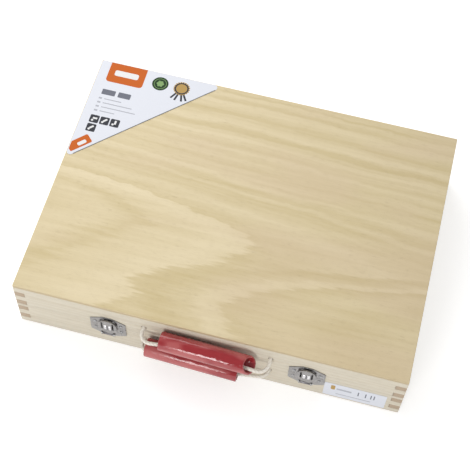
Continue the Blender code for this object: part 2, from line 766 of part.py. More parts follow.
def cut_end(grip, middle, half):
    """Cut a grip's right end at a slant, with the longest lip at the full length."""
    reach = 2 * GRIP_RADIUS
    inward = half - GRIP_RADIUS * math.tan(math.radians(END_SLANT))
    lean = Matrix.Rotation(math.radians(END_LEAN), 4, "X")
    slant = Matrix.Rotation(math.radians(90 - END_SLANT), 4, "Y")
    place = middle @ at(inward, 0, 0) @ lean @ slant
    cut(grip, box_mesh((-reach, -reach, 0), (reach, reach, reach)), place)


def add_handle(name, left, right, height, length, shift, rise, tray_axis=None):
    """A cord from knot to knot, and the tube grip that turns on it."""
    hand = add_axis(f"{name}_slide_axis", 0, -HALF_DEPTH, height)
    if tray_axis is not None:
        hand.parent = tray_axis
        hand.matrix_parent_inverse = Matrix.Translation(-tray_axis.location)
    line = cord_line(left, right, height)
    cord = add_part(f"{name}_cord", tube_mesh(line, CORD_RADIUS), COTTON, Matrix.Identity(4), hand,
                    round_piece=True)
    for knot in (line[0], line[-1]):
        join(cord, ball_mesh(KNOT_RADIUS, knot), Matrix.Identity(4))
    outer = GRIP_RADIUS
    half = length / 2
    soft = GRIP_ROUNDING
    ease = GRIP_EASE
    ring = [(outer - soft, half), (outer - ease, half - ease), (outer, half - soft),
            (outer, soft - half), (outer - ease, ease - half), (outer - soft, -half),
            (GRIP_BORE_RADIUS, -half), (GRIP_BORE_RADIUS, half)]
    middle = at(shift, -HALF_DEPTH - GRIP_STANDOFF, height + rise)
    middle = middle @ Matrix.Rotation(math.radians(-GRIP_YAW), 4, "Z")
    grip = add_part(f"{name}_grip", profile_mesh(ring, closed=True), RED_PLASTIC, middle @ ALONG_X,
                    hand, round_piece=True)
    turn(grip, GRIP_SIDES)
    return grip, middle


# Paper


def add_corner_label(body):
    """A triangle of paper on the lid's back left corner, its long edge facing the middle."""
    left = -HALF_WIDTH + LABEL_INSET
    back = HALF_DEPTH - LABEL_INSET
    outline = rounded([(left, back - LABEL_DEPTH), (left + LABEL_WIDTH, back), (left, back)],
                      [LABEL_TIP_ROUNDING, LABEL_TIP_ROUNDING, LABEL_CORNER_ROUNDING])
    mesh = plate_mesh(outline, SEAT_GAP, SEAT_GAP + PAPER_THICKNESS)
    add_part("corner_label", mesh, PAPER, at(0, 0, BOX_HEIGHT) @ ON_TOP, body)


def add_front_sticker():
    """A small white sticker low on the base's front, right of the right latch."""
    left = (LATCH_SPACING + LATCH_WIDTH) / 2 + CLEARANCE
    right = HALF_WIDTH - STICKER_INSET
    top = BASE_HEIGHT - STICKER_DROP
    outline = rounded([(left, STICKER_LIFT), (right, STICKER_LIFT), (right, top), (left, top)],
                      [STICKER_ROUNDING] * 4)
    mesh = plate_mesh(outline, SEAT_GAP, SEAT_GAP + PAPER_THICKNESS)
    add_part("front_sticker", mesh, PAPER, at(0, -HALF_DEPTH, 0) @ ON_FRONT)


def build():
    """The whole tool box."""
    lid_axis = add_axis("lid_hinge_axis", 0, HINGE_AXIS_Y, BASE_HEIGHT)
    add_panel("base_panel", PLY_BASE, 0)
    add_panel("lid_panel", VENEER, BOX_HEIGHT - PANEL_THICKNESS, lid_axis)
    base = add_walls("base", BASE_WALL_LOW, BASE_WALL_HIGH, PANEL_THICKNESS + FINGER_HEIGHT / 2, True)
    lid = add_walls("lid", LID_WALL_LOW, LID_WALL_HIGH, BOX_HEIGHT - PANEL_THICKNESS, False, lid_axis)
    base_front = cord_holes(BASE_HOLE_HEIGHT)
    lid_front = cord_holes(LID_HOLE_HEIGHT)
    base_back = []
    lid_back = []
    for number, side in ((1, -1), (2, 1)):
        add_hinge(side, number, base_back, lid_back, lid_axis)
        add_latch(side, number, base_front, lid_front, lid_axis)
    for wall, holes in ((base["front"], base_front), (lid["front"], lid_front),
                        (base["back"], base_back), (lid["back"], lid_back)):
        drill(wall, holes)
    upper_grip, middle = add_handle("upper", UPPER_CORD_LEFT, UPPER_CORD_RIGHT, LID_HOLE_HEIGHT,
                                    UPPER_GRIP_LENGTH, UPPER_GRIP_SHIFT, UPPER_GRIP_RISE, lid_axis)
    cut_end(upper_grip, middle, UPPER_GRIP_LENGTH / 2)
    add_handle("lower", LOWER_CORD_LEFT, LOWER_CORD_RIGHT, BASE_HOLE_HEIGHT, LOWER_GRIP_LENGTH,
               LOWER_GRIP_SHIFT, LOWER_GRIP_RISE)
    add_corner_label(lid_axis)
    add_front_sticker()


clear_scene()
PARTS = new_collection("toy_tool_box")
TOOLS = new_collection("cutters", hidden=True)
build()
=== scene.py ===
# %% [markdown]
# # A toy tool box
#
# A child's tool box: two shallow wooden trays hinged at the back, two nickel latches and two cord
# handles at the front, each with a red tube as its grip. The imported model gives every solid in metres,
# with the origin under the middle of the base, +Z up and the latches on the -Y side. This script keeps
# those solids as its frame and dresses them: rounder edges, finer fittings, twisted cord, printed paper
# and a procedural finish on everything.

# %% Load the frame
import json
import math

import bmesh
import bpy
from mathutils import Matrix, Vector
from mathutils.geometry import interpolate_bezier


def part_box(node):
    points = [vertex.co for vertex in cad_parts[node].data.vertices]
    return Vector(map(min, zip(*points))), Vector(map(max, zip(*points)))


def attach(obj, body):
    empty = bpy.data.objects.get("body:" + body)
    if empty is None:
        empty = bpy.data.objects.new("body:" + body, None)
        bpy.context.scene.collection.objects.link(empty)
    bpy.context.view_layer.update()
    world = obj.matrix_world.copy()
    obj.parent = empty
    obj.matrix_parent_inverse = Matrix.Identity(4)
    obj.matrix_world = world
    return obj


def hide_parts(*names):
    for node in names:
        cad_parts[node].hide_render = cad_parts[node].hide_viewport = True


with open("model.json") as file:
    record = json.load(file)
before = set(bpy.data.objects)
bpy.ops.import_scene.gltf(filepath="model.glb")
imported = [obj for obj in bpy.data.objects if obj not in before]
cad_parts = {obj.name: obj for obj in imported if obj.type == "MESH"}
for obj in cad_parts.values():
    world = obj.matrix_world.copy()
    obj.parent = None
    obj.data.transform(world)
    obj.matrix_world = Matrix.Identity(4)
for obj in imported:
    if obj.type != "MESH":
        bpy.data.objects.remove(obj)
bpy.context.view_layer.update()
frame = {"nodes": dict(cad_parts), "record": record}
MM = 0.001
print("pieces in the frame:", len(frame["nodes"]))

# %% [markdown]
# ## Camera
#
# The six corners of the box that show in the picture fix where it was taken from. A long lens high
# above the front, a little to the right, gives the same edges. A camera could be aimed with a Track To
# constraint, but the picture is also rolled by about three degrees, so its axes are written as a matrix.

# %% Place the camera
CAMERA_AZIMUTH = math.radians(11.806)
CAMERA_ELEVATION = math.radians(59.846)
CAMERA_ROLL = math.radians(3.109)
CAMERA_TARGET = Vector((-9.72, 9.65, 0.0)) * MM
CAMERA_DISTANCE = 1179.4 * MM
SENSOR_WIDTH = 36.0
FOCAL_LENGTH = 89.167

back = Vector((math.sin(CAMERA_AZIMUTH) * math.cos(CAMERA_ELEVATION),
               -math.cos(CAMERA_AZIMUTH) * math.cos(CAMERA_ELEVATION),
               math.sin(CAMERA_ELEVATION)))
level = (-back).cross(Vector((0, 0, 1))).normalized()
upward = level.cross(-back)
side = level * math.cos(CAMERA_ROLL) + upward * math.sin(CAMERA_ROLL)
top = upward * math.cos(CAMERA_ROLL) - level * math.sin(CAMERA_ROLL)
eye = CAMERA_TARGET + back * CAMERA_DISTANCE

lens = bpy.data.cameras.new("camera")
lens.sensor_width = SENSOR_WIDTH
lens.lens = FOCAL_LENGTH
lens.clip_start = 0.05
lens.clip_end = 20.0
camera = bpy.data.objects.new("camera", lens)
camera.matrix_world = Matrix((
    (side.x, top.x, back.x, eye.x),
    (side.y, top.y, back.y, eye.y),
    (side.z, top.z, back.z, eye.z),
    (0, 0, 0, 1),
))
bpy.context.scene.collection.objects.link(camera)
bpy.context.scene.camera = camera
print("camera at", [round(value, 3) for value in eye])

# %% [markdown]
# ## Where each cord runs
#
# Each handle is one cotton cord. It starts at a knot inside the tray, leaves through the left hole,
# bends along the front, passes through the tube and goes back in through the right hole. The route is a
# few points that a smooth curve passes through: a Bezier piece between each two, whose handles follow
# the mean direction at each point. A plain polyline would look like bent wire.

# %% Build the two routes
FRONT = -136.0 * MM
WALL = 10.0 * MM
HOLE_X = 60.0 * MM
KNOT_Y = -101.2 * MM
CORD_DIAMETER = 3.6 * MM
UPPER_HOLE_Z = 50.0 * MM
LOWER_HOLE_Z = 26.0 * MM
CURVE_STEPS = 12

# In millimetres: along the front from the nearer hole, away from the wall's face, and above the hole
UPPER_LEFT = ((0.0, 1.5, 0.0), (-0.4, 4.7, -0.8), (0.4, 8.3, -1.9), (3.2, 11.5, -2.7),
              (7.5, 13.1, -2.5), (12.5, 13.3, -1.4), (17.5, 13.1, -0.5), (24.0, 13.1, -0.2))
UPPER_RIGHT = ((0.0, 1.5, 0.0), (-0.2, 4.7, -0.8), (0.8, 8.4, -2.1), (3.6, 11.8, -3.3),
               (7.8, 13.8, -3.3), (12.2, 14.4, -2.1), (16.5, 14.5, -1.0), (24.0, 14.5, -0.6))
LOWER_LEFT = ((0.0, 1.5, 0.0), (-0.6, 4.4, -0.2), (-0.1, 7.6, -0.1), (2.0, 10.5, 0.4),
              (5.5, 12.3, 1.2), (9.5, 12.9, 1.6), (17.0, 12.9, 1.6))
LOWER_RIGHT = ((0.0, 0.5, 0.0), (0.9, 4.2, -0.3), (3.6, 7.2, -0.7), (7.4, 8.9, -0.8),
               (13.5, 10.2, -0.2), (22.0, 11.8, 0.9), (32.0, 13.1, 1.5))


def route_points(left, right, height):
    """The points that a cord passes through, from knot to knot."""
    points = [Vector((-HOLE_X, KNOT_Y, height)), Vector((-HOLE_X, FRONT + WALL, height))]
    for along, out, rise in left:
        points.append(Vector((-HOLE_X + along * MM, FRONT - out * MM, height + rise * MM)))
    for along, out, rise in reversed(right):
        points.append(Vector((HOLE_X - along * MM, FRONT - out * MM, height + rise * MM)))
    return points + [Vector((HOLE_X, FRONT + WALL, height)), Vector((HOLE_X, KNOT_Y, height))]


def smooth_line(points):
    """A fine line of points on a smooth curve through the given ones."""
    spans = [end - start for start, end in zip(points, points[1:])]
    slopes = [span.normalized() for span in spans]
    tangents = [slopes[0]]
    for i in range(1, len(spans)):
        share = spans[i - 1].length / (spans[i - 1].length + spans[i].length)
        tangents.append(slopes[i - 1].lerp(slopes[i], share))
    tangents.append(slopes[-1])
    line = [points[0]]
    for i, span in enumerate(spans):
        third = span.length / 3
        line += interpolate_bezier(points[i], points[i] + tangents[i] * third,
                                   points[i + 1] - tangents[i + 1] * third, points[i + 1],
                                   CURVE_STEPS + 1)[1:]
    return line


def line_length(line):
    """The length of a line of points."""
    return sum((end - start).length for start, end in zip(line, line[1:]))


def spaced(line, spacing):
    """Points along a line at an even spacing."""
    total = line_length(line)
    count = round(total / spacing)
    points = []
    start = 0.0
    k = 0
    for i in range(count + 1):
        target = total * i / count
        while k < len(line) - 2 and start + (line[k + 1] - line[k]).length < target:
            start += (line[k + 1] - line[k]).length
            k += 1
        points.append(line[k].lerp(line[k + 1], (target - start) / (line[k + 1] - line[k]).length))
    return points


upper_line = smooth_line(route_points(UPPER_LEFT, UPPER_RIGHT, UPPER_HOLE_Z))
lower_line = smooth_line(route_points(LOWER_LEFT, LOWER_RIGHT, LOWER_HOLE_Z))
print("cord lengths in mm:", [round(line_length(line) / MM, 1) for line in (upper_line, lower_line)])

# %% [markdown]
# ## Twisted cord
#
# The cord is cotton, three strands laid round each other. A plain tube with a bump would do from afar,
# but its outline would stay smooth, so the tube's section is drawn as three soft lobes that turn once
# in each lay of the rope while the section moves along the line. To keep the section from spinning by
# itself, its frame is carried from ring to ring with the smallest turn.

# %% Sweep the cord
STRANDS = 3
LAY_LENGTH = 11.0 * MM
RING_SPACING = 0.55 * MM
SECTION_POINTS = 30
STRAND_DEPTH = 0.13


def link_mesh(name, mesh):
    """Put a mesh in the scene as an object of the same name."""
    mesh.name = name
    made = bpy.data.objects.new(name, mesh)
    bpy.context.scene.collection.objects.link(made)
    return made


def mesh_from(shape, name):
    """The mesh of a finished bmesh, which is freed."""
    mesh = bpy.data.meshes.new(name)
    shape.to_mesh(mesh)
    shape.free()
    return mesh


def rope_mesh(line, diameter):
    """A closed tube with three lobes that wind round the line."""
    centres = spaced(line, RING_SPACING)
    shape = bmesh.new()
    uv_layer = shape.loops.layers.uv.new("rope")
    rings = []
    across = (centres[1] - centres[0]).orthogonal().normalized()
    run = 0.0
    for i, centre in enumerate(centres):
        ahead = centres[min(i + 1, len(centres) - 1)] - centres[max(i - 1, 0)]
        ahead.normalize()
        across = (across - ahead * across.dot(ahead)).normalized()
        other = ahead.cross(across)
        if i:
            run += (centre - centres[i - 1]).length
        ring = []
        for k in range(SECTION_POINTS):
            angle = 2 * math.pi * k / SECTION_POINTS
            lobe = abs(math.cos(STRANDS / 2 * (angle - 2 * math.pi * run / LAY_LENGTH)))
            radius = diameter / 2 * (1 - STRAND_DEPTH + STRAND_DEPTH * lobe ** 0.5)
            spoke = across * math.cos(angle) + other * math.sin(angle)
            ring.append(shape.verts.new(centre + spoke * radius))
        rings.append((ring, run))
    for (ring, start), (following, end) in zip(rings, rings[1:]):
        for k in range(SECTION_POINTS):
            j = (k + 1) % SECTION_POINTS
            face = shape.faces.new((ring[k], ring[j], following[j], following[k]))
            places = ((k, start), (k + 1, start), (k + 1, end), (k, end))
            for loop, (turn, way) in zip(face.loops, places):
                loop[uv_layer].uv = (turn / SECTION_POINTS, way / LAY_LENGTH)
    shape.faces.new(list(reversed(rings[0][0])))
    shape.faces.new(rings[-1][0])
    bmesh.ops.recalc_face_normals(shape, faces=shape.faces)
    mesh = mesh_from(shape, "rope")
    mesh.shade_smooth()
    return mesh


upper_cord = link_mesh("upper_cotton_cord", rope_mesh(upper_line, CORD_DIAMETER))
lower_cord = link_mesh("lower_cotton_cord", rope_mesh(lower_line, CORD_DIAMETER))
print("cord faces:", len(upper_cord.data.polygons), len(lower_cord.data.polygons))

# %% [markdown]
# ## Knots
#
# An overhand knot keeps each cord end inside its tray. Its heart is a trefoil: a line that winds twice
# round a ring while it crosses itself three times. The same rope sweep follows that line, pressed flat
# towards the wall, and a short tail comes out of it.

# %% Tie the four knots
KNOT_WIDTH = 5.2 * MM
KNOT_DEPTH = 4.0 * MM
TAIL_LENGTH = 6.5 * MM
KNOT_STEPS = 96


def knot_line(centre):
    """The closed line of a trefoil, with the cord's own direction as its axis."""
    core = CORD_DIAMETER / 2
    wide = KNOT_WIDTH - core
    deep = KNOT_DEPTH - core
    line = []
    for i in range(KNOT_STEPS + 1):
        t = 2 * math.pi * i / KNOT_STEPS
        reach = (2 + math.cos(3 * t)) / 3
        line.append(centre + Vector((math.cos(2 * t) * reach * wide, math.sin(3 * t) * deep,
                                     math.sin(2 * t) * reach * wide)))
    return line


def add_knot(name, x, height):
    """A knot and its tail, as one piece."""
    centre = Vector((x, KNOT_Y, height))
    tail = [centre, centre + Vector((0.6 * MM, TAIL_LENGTH * 0.6, -0.4 * MM)),
            centre + Vector((1.6 * MM, TAIL_LENGTH + KNOT_DEPTH * 0.5, -1.2 * MM))]
    whole = bmesh.new()
    for line in (knot_line(centre), smooth_line(tail)):
        mesh = rope_mesh(line, CORD_DIAMETER)
        whole.from_mesh(mesh)
        bpy.data.meshes.remove(mesh)
    mesh = mesh_from(whole, name)
    mesh.shade_smooth()
    return link_mesh(name, mesh)


upper_knots = [add_knot("upper_left_knot", -HOLE_X, UPPER_HOLE_Z),
               add_knot("upper_right_knot", HOLE_X, UPPER_HOLE_Z)]
lower_knots = [add_knot("lower_left_knot", -HOLE_X, LOWER_HOLE_Z),
               add_knot("lower_right_knot", HOLE_X, LOWER_HOLE_Z)]
print("knots:", len(upper_knots) + len(lower_knots))

# %% Hang the cords and knots on their handles
for cord, line, knots, body, node in (
    (upper_cord, upper_line, upper_knots, "upper_handle", "upper_cord"),
    (lower_cord, lower_line, lower_knots, "lower_handle", "lower_cord"),
):
    for piece in [cord] + knots:
        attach(piece, body)
    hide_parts(node)

# %% [markdown]
# ## Shader building blocks
#
# Every finish below is made of nodes. A few small helpers keep that readable: one adds a node and fills
# or links its inputs, others stand for the nodes used most, and one starts a node group with named
# sockets. Effects that several finishes share become groups; the Principled shader itself stays in each
# material.

# %% Node helpers


def node(tree, kind, inputs=None, **settings):
    """Add a node, choose its settings and fill or link its inputs."""
    made = tree.nodes.new(kind)
    for name, value in settings.items():
        setattr(made, name, value)
    for name, value in (inputs or {}).items():
        if isinstance(value, bpy.types.NodeSocket):
            tree.links.new(value, made.inputs[name])
        else:
            made.inputs[name].default_value = value
    return made


def calc(tree, operation, first, second=0.0, third=0.0):
    """A Math node's result."""
    return node(tree, "ShaderNodeMath", {0: first, 1: second, 2: third}, operation=operation).outputs[0]


def vector_calc(tree, operation, first, second):
    """A Vector Math node's result."""
    return node(tree, "ShaderNodeVectorMath", {0: first, 1: second}, operation=operation).outputs[0]


def spread(tree, value, low, high, new_low=0.0, new_high=1.0):
    """A value moved smoothly from one range to another."""
    made = node(tree, "ShaderNodeMapRange", {"Value": value, "From Min": low, "From Max": high,
                                             "To Min": new_low, "To Max": new_high},
                interpolation_type="SMOOTHSTEP")
    return made.outputs["Result"]


def blend(tree, amount, first, second):
    """Two colours mixed by an amount."""
    made = node(tree, "ShaderNodeMix", data_type="RGBA")
    for socket, value in ((made.inputs[0], amount), (made.inputs[6], first), (made.inputs[7], second)):
        if isinstance(value, bpy.types.NodeSocket):
            tree.links.new(value, socket)
        else:
            socket.default_value = (*value, 1) if isinstance(value, tuple) else value
    return made.outputs[2]


def tinted(tree, colour, mask, strength, tint):
    """A colour with another laid over it where a mask is high."""
    return blend(tree, calc(tree, "MULTIPLY", mask, strength), colour, tint)


def noise(tree, vector, scale, detail=2.0, roughness=0.5):
    """A noise value between about 0 and 1."""
    return node(tree, "ShaderNodeTexNoise", {"Vector": vector, "Scale": scale, "Detail": detail,
                                             "Roughness": roughness}).outputs["Fac"]


def line_noise(tree, value, scale, detail):
    """A noise value that changes with one number only."""
    return node(tree, "ShaderNodeTexNoise", {"W": value, "Scale": scale, "Detail": detail},
                noise_dimensions="1D").outputs["Fac"]


def new_group(name, inputs, outputs):
    """An empty node group with named sockets, its inputs given with their defaults."""
    group = bpy.data.node_groups.new(name, "ShaderNodeTree")
    for label, default in inputs:
        kind = "NodeSocketFloat" if isinstance(default, float) else "NodeSocketVector"
        socket = group.interface.new_socket(name=label, in_out="INPUT", socket_type=kind)
        socket.default_value = default
    for label in outputs:
        group.interface.new_socket(name=label, in_out="OUTPUT", socket_type="NodeSocketFloat")
    return group, group.nodes.new("NodeGroupInput").outputs, group.nodes.new("NodeGroupOutput").inputs


def use_group(tree, group, inputs):
    """Place a group in a material and return its outputs."""
    return node(tree, "ShaderNodeGroup", inputs, node_tree=group).outputs


def new_material(name, roughness, **constants):
    """A material with its Principled shader, whose plain values are set on the shader's own sockets."""
    made = bpy.data.materials.new(name)
    made.use_nodes = True
    shader = made.node_tree.nodes["Principled BSDF"]
    shader.inputs["Roughness"].default_value = roughness
    for label, value in constants.items():
        shader.inputs[label.replace("_", " ")].default_value = value
    return made, made.node_tree, shader


def set_bump(tree, shader, height, distance, strength=1.0):
    """Give a material relief from a height value."""
    bump = node(tree, "ShaderNodeBump", {"Height": height, "Distance": distance, "Strength": strength})
    tree.links.new(bump.outputs["Normal"], shader.inputs["Normal"])


def place_in_mm(tree):
    """The object's own coordinates, in millimetres."""
    where = tree.nodes.new("ShaderNodeTexCoord").outputs["Object"]
    return vector_calc(tree, "MULTIPLY", where, (1 / MM, 1 / MM, 1 / MM))


def set_look(mesh, look):
    """Give a mesh one material."""
    mesh.materials.clear()
    mesh.materials.append(look)


print("helpers ready")

# %% [markdown]
# ## Wood, as node groups
#
# A light plywood face shows broad, soft growth bands that run along the board and close into pointed
# flames where the cut leaves a layer, and fine fibre streaks; a sawn end shows dark end grain. Each is a
# group. A flame is a family of curves that all close to a point in one direction, each like a root
# curve of the distance behind its tip, so one number, the place of a curve's tip, tells which curve a
# point lies on.

# %% Group: a family of flame curves
FLAME, given, result = new_group(
    "flame_curves",
    [("Position", (0.0, 0.0, 0.0)), ("Height", 0.0), ("Direction", 1.0), ("Upper Width", 4.0),
     ("Upper Power", 2.0), ("Lower Width", 1.0), ("Lower Power", 1.0)],
    ["Tip"],
)
parts = node(FLAME, "ShaderNodeSeparateXYZ", {0: given["Position"]}).outputs
above = calc(FLAME, "SUBTRACT", parts["Y"], given["Height"])
behind = []
for edge, away in (("Upper", 1.0), ("Lower", -1.0)):
    reach = calc(FLAME, "MAXIMUM", calc(FLAME, "MULTIPLY", above, away), 0.0)
    reach = calc(FLAME, "DIVIDE", reach, given[edge + " Width"])
    behind.append(calc(FLAME, "POWER", reach, given[edge + " Power"]))
along = calc(FLAME, "MULTIPLY", parts["X"], given["Direction"])
FLAME.links.new(calc(FLAME, "ADD", calc(FLAME, "ADD", behind[0], behind[1]), along), result["Tip"])

# %% Group: growth bands
BANDS, given, result = new_group("growth_bands", [("Band Number", 0.0), ("Evenness", 0.5)], ["Latewood"])
within = calc(BANDS, "FRACT", given["Band Number"])
rise = spread(BANDS, within, 0.15, 0.92)
fall = spread(BANDS, within, 0.93, 1.0, 1.0, 0.0)
irregular = line_noise(BANDS, given["Band Number"], 0.9, 1.0)
amount = calc(BANDS, "ADD", irregular, calc(BANDS, "MULTIPLY", given["Evenness"], 0.4))
amount = spread(BANDS, amount, 0.35, 0.75)
BANDS.links.new(calc(BANDS, "MULTIPLY", calc(BANDS, "MULTIPLY", rise, fall), amount), result["Latewood"])

# %% Group: fibre
FIBRE, given, result = new_group(
    "wood_fibre", [("Position", (0.0, 0.0, 0.0)), ("Stretch", 0.02)], ["Streak", "Fibre", "Pore"])
drawn = node(FIBRE, "ShaderNodeCombineXYZ", {0: given["Stretch"], 1: 1.0, 2: 1.0}).outputs[0]
along = vector_calc(FIBRE, "MULTIPLY", given["Position"], drawn)
FIBRE.links.new(noise(FIBRE, along, 0.16, 3.0, 0.6), result["Streak"])
FIBRE.links.new(noise(FIBRE, along, 1.7, 3.0, 0.65), result["Fibre"])
FIBRE.links.new(spread(FIBRE, noise(FIBRE, along, 4.2, 1.0, 0.4), 0.64, 0.74), result["Pore"])

# %% Group: end grain
END_GRAIN, given, result = new_group(
    "end_grain", [("Position", (0.0, 0.0, 0.0)), ("Grain Axis", (1.0, 0.0, 0.0))], ["Cut Across", "Mottle"])
facing = END_GRAIN.nodes.new("ShaderNodeTexCoord").outputs["Normal"]
along = node(END_GRAIN, "ShaderNodeVectorMath", {0: facing, 1: given["Grain Axis"]},
             operation="DOT_PRODUCT").outputs["Value"]
END_GRAIN.links.new(spread(END_GRAIN, calc(END_GRAIN, "ABSOLUTE", along), 0.55, 0.85), result["Cut Across"])
END_GRAIN.links.new(noise(END_GRAIN, given["Position"], 1.3, 3.0, 0.7), result["Mottle"])
print("wood groups:", FLAME.name, BANDS.name, FIBRE.name, END_GRAIN.name)

# %% [markdown]
# ## The lid's veneer
#
# The top sheet is thin poplar plywood, pale cream with soft olive streaks. Towards the back the bands
# run straight; towards the front a pale flame closes to the right, and under it an olive one closes to
# the left. Where a curve lies in its flame gives the tone, through a colour ramp for the flame's own
# layers and through a slow noise for the streaks outside it. The place is first shaken a little, so that
# no edge runs like a drawn line, and pulled along the grain in thin fingers: a knife that peels a log
# cuts each layer at a very low angle, so its edge is jagged along the fibres.

# %% Veneer material


def ramp(tree, value, low, high, stops):
    """A grey tone read off a ramp between two values, with stops given in those values."""
    share = node(tree, "ShaderNodeMapRange", {"Value": value, "From Min": low, "From Max": high})
    made = node(tree, "ShaderNodeValToRGB", {"Fac": share.outputs["Result"]})
    elements = made.color_ramp.elements
    made.color_ramp.interpolation = "EASE"
    while len(elements) < len(stops):
        elements.new(0.5)
    for element, (place, tone) in zip(elements, stops):
        element.position = (place - low) / (high - low)
        element.color = (tone, tone, tone, 1)
    return made.outputs["Color"]


# How dark each flame's own layers are, by the place of a curve's tip in millimetres
RIGHT_LAYERS = ((-190, 0.45), (-130, 0.30), (-90, 0.62), (-70, 0.34), (-40, 0.22),
                (0, 0.04), (18, 0.10), (30, 0.62), (48, 0.50))
LEFT_LAYERS = ((-190, 0.30), (-110, 0.55), (-60, 0.38), (-12, 0.66), (0, 0.20),
               (14, 0.16), (30, 0.50), (62, 0.74), (84, 0.60))
RIGHT_FLAME = {"Height": -41.0, "Direction": 1.0, "Upper Width": 3.4, "Upper Power": 2.08,
               "Lower Width": 0.363, "Lower Power": 0.869}
LEFT_FLAME = {"Height": -106.0, "Direction": -1.0, "Upper Width": 4.6, "Upper Power": 2.0,
              "Lower Width": 1.27, "Lower Power": 1.0}
FARTHEST_TIP = -200.0

# How much each noise is drawn out along the grain, and how far it moves the place in millimetres
SLOW = (0.35, 1.0, 0.2)
QUICK = (0.5, 1.0, 0.2)
DRAWN_OUT = (0.09, 1.0, 0.2)
SWAY = 14.0
SHIVER_ACROSS = 5.0
SHIVER_ALONG = 12.0
FINGER_LENGTH = 50.0

# Where the core starts and ends in the thickness of a sheet, each over a small distance
CORE_START = (1.15, 1.35)
CORE_END = (2.65, 2.85)


def swing(tree, place, stretch, scale, detail, roughness):
    """Noise on a stretched place, which swings evenly about zero."""
    value = noise(tree, vector_calc(tree, "MULTIPLY", place, stretch), scale, detail, roughness)
    return calc(tree, "SUBTRACT", value, 0.5)


def flame_tone(tree, place):
    """How dark the veneer is: two flames, and straight streaks outside them."""
    sway = swing(tree, place, SLOW, 0.03, 2.0, 0.5)
    shiver = swing(tree, place, QUICK, 0.14, 3.0, 0.6)
    fingers = swing(tree, place, DRAWN_OUT, 0.24, 2.0, 0.6)
    across = calc(tree, "MULTIPLY_ADD", sway, SWAY, calc(tree, "MULTIPLY", shiver, SHIVER_ACROSS))
    along = calc(tree, "MULTIPLY", shiver, SHIVER_ALONG)
    along = calc(tree, "MULTIPLY_ADD", fingers, FINGER_LENGTH, along)
    offset = node(tree, "ShaderNodeCombineXYZ", {0: along, 1: across, 2: 0.0}).outputs[0]
    there = vector_calc(tree, "ADD", place, offset)
    right = use_group(tree, FLAME, {"Position": there, **RIGHT_FLAME})["Tip"]
    left = use_group(tree, FLAME, {"Position": there, **LEFT_FLAME})["Tip"]
    inside_right = ramp(tree, right, FARTHEST_TIP, 60.0, RIGHT_LAYERS)
    inside_left = ramp(tree, left, FARTHEST_TIP, 90.0, LEFT_LAYERS)
    count = calc(tree, "MAXIMUM", calc(tree, "SUBTRACT", right, FARTHEST_TIP), 0.0)
    count = calc(tree, "SQRT", count)
    streaks = spread(tree, line_noise(tree, count, 0.30, 2.0), 0.28, 0.72, 0.22, 0.66)
    tone = blend(tree, spread(tree, right, 30.0, 75.0), inside_right, streaks)
    return blend(tree, spread(tree, left, 76.0, 88.0, 1.0, 0.0), tone, inside_left)


def finish_wood(tree, shader, colour, fibre, roughness, relief, depth):
    """Link a wood's colour, and let its fibres and pores give gloss and relief."""
    tree.links.new(colour, shader.inputs["Base Color"])
    tree.links.new(calc(tree, "MULTIPLY_ADD", fibre["Fibre"], 0.16, roughness), shader.inputs["Roughness"])
    height = calc(tree, "SUBTRACT", calc(tree, "MULTIPLY", fibre["Fibre"], relief), fibre["Pore"])
    set_bump(tree, shader, height, depth)


def veneer(name, low_z, shift, pale, deep, outer_ply, inner_ply):
    """Plywood face with two flames, and plies that show on its edges."""
    made, tree, shader = new_material(name, 0.5, Specular_IOR_Level=0.3)
    place = place_in_mm(tree)
    moved = vector_calc(tree, "ADD", place, shift)
    fibre = use_group(tree, FIBRE, {"Position": moved, "Stretch": 0.03})
    streak = calc(tree, "MULTIPLY", calc(tree, "SUBTRACT", fibre["Streak"], 0.5), 0.75)
    colour = blend(tree, calc(tree, "ADD", flame_tone(tree, moved), streak), pale, deep)
    cloud = noise(tree, vector_calc(tree, "MULTIPLY", moved, SLOW), 0.021, 1.0)
    colour = blend(tree, spread(tree, cloud, 0.45, 0.7, 0.0, 0.30), colour, (0.70, 0.545, 0.39))
    colour = tinted(tree, colour, fibre["Fibre"], 0.18, (0.42, 0.33, 0.20))
    colour = tinted(tree, colour, fibre["Pore"], 0.20, (0.30, 0.20, 0.10))
    edge = use_group(tree, END_GRAIN, {"Position": place, "Grain Axis": (0.0, 0.0, 1.0)})
    side_face = calc(tree, "SUBTRACT", 1.0, edge["Cut Across"])
    depth = calc(tree, "SUBTRACT", node(tree, "ShaderNodeSeparateXYZ", {0: place}).outputs["Z"], low_z)
    over_start = spread(tree, depth, *CORE_START)
    core = calc(tree, "MULTIPLY", over_start, spread(tree, depth, *CORE_END, 1.0, 0.0))
    ply = tinted(tree, blend(tree, core, outer_ply, inner_ply), edge["Mottle"], 0.3, (0.36, 0.26, 0.15))
    finish_wood(tree, shader, blend(tree, side_face, colour, ply), fibre, 0.42, 0.6, 0.06 * MM)
    return made


lid_veneer = veneer("lid_veneer", low_z=66.0, shift=(0.0, 0.0, 0.0),
                    pale=(0.80, 0.685, 0.455), deep=(0.60, 0.485, 0.25),
                    outer_ply=(0.68, 0.57, 0.36), inner_ply=(0.56, 0.44, 0.27))
base_veneer = veneer("base_veneer", low_z=0.0, shift=(140.0, 75.0, 900.0),
                     pale=(0.76, 0.65, 0.44), deep=(0.57, 0.46, 0.26),
                     outer_ply=(0.76, 0.71, 0.61), inner_ply=(0.66, 0.60, 0.50))
print("veneers:", lid_veneer.name, base_veneer.name)

# %% [markdown]
# ## Wall boards
#
# The walls are planed softwood, 10 mm thick, paler and greyer than the lid. Their grain runs along
# each board, so the same material is made once per board with its own grain axis and its own offset,
# and the finger ends show brown end grain because their faces look along that axis.

# %% Board material
BAND_WIDTH = 6.5
BAND_TILT = 0.6
BAND_WANDER = 3.0


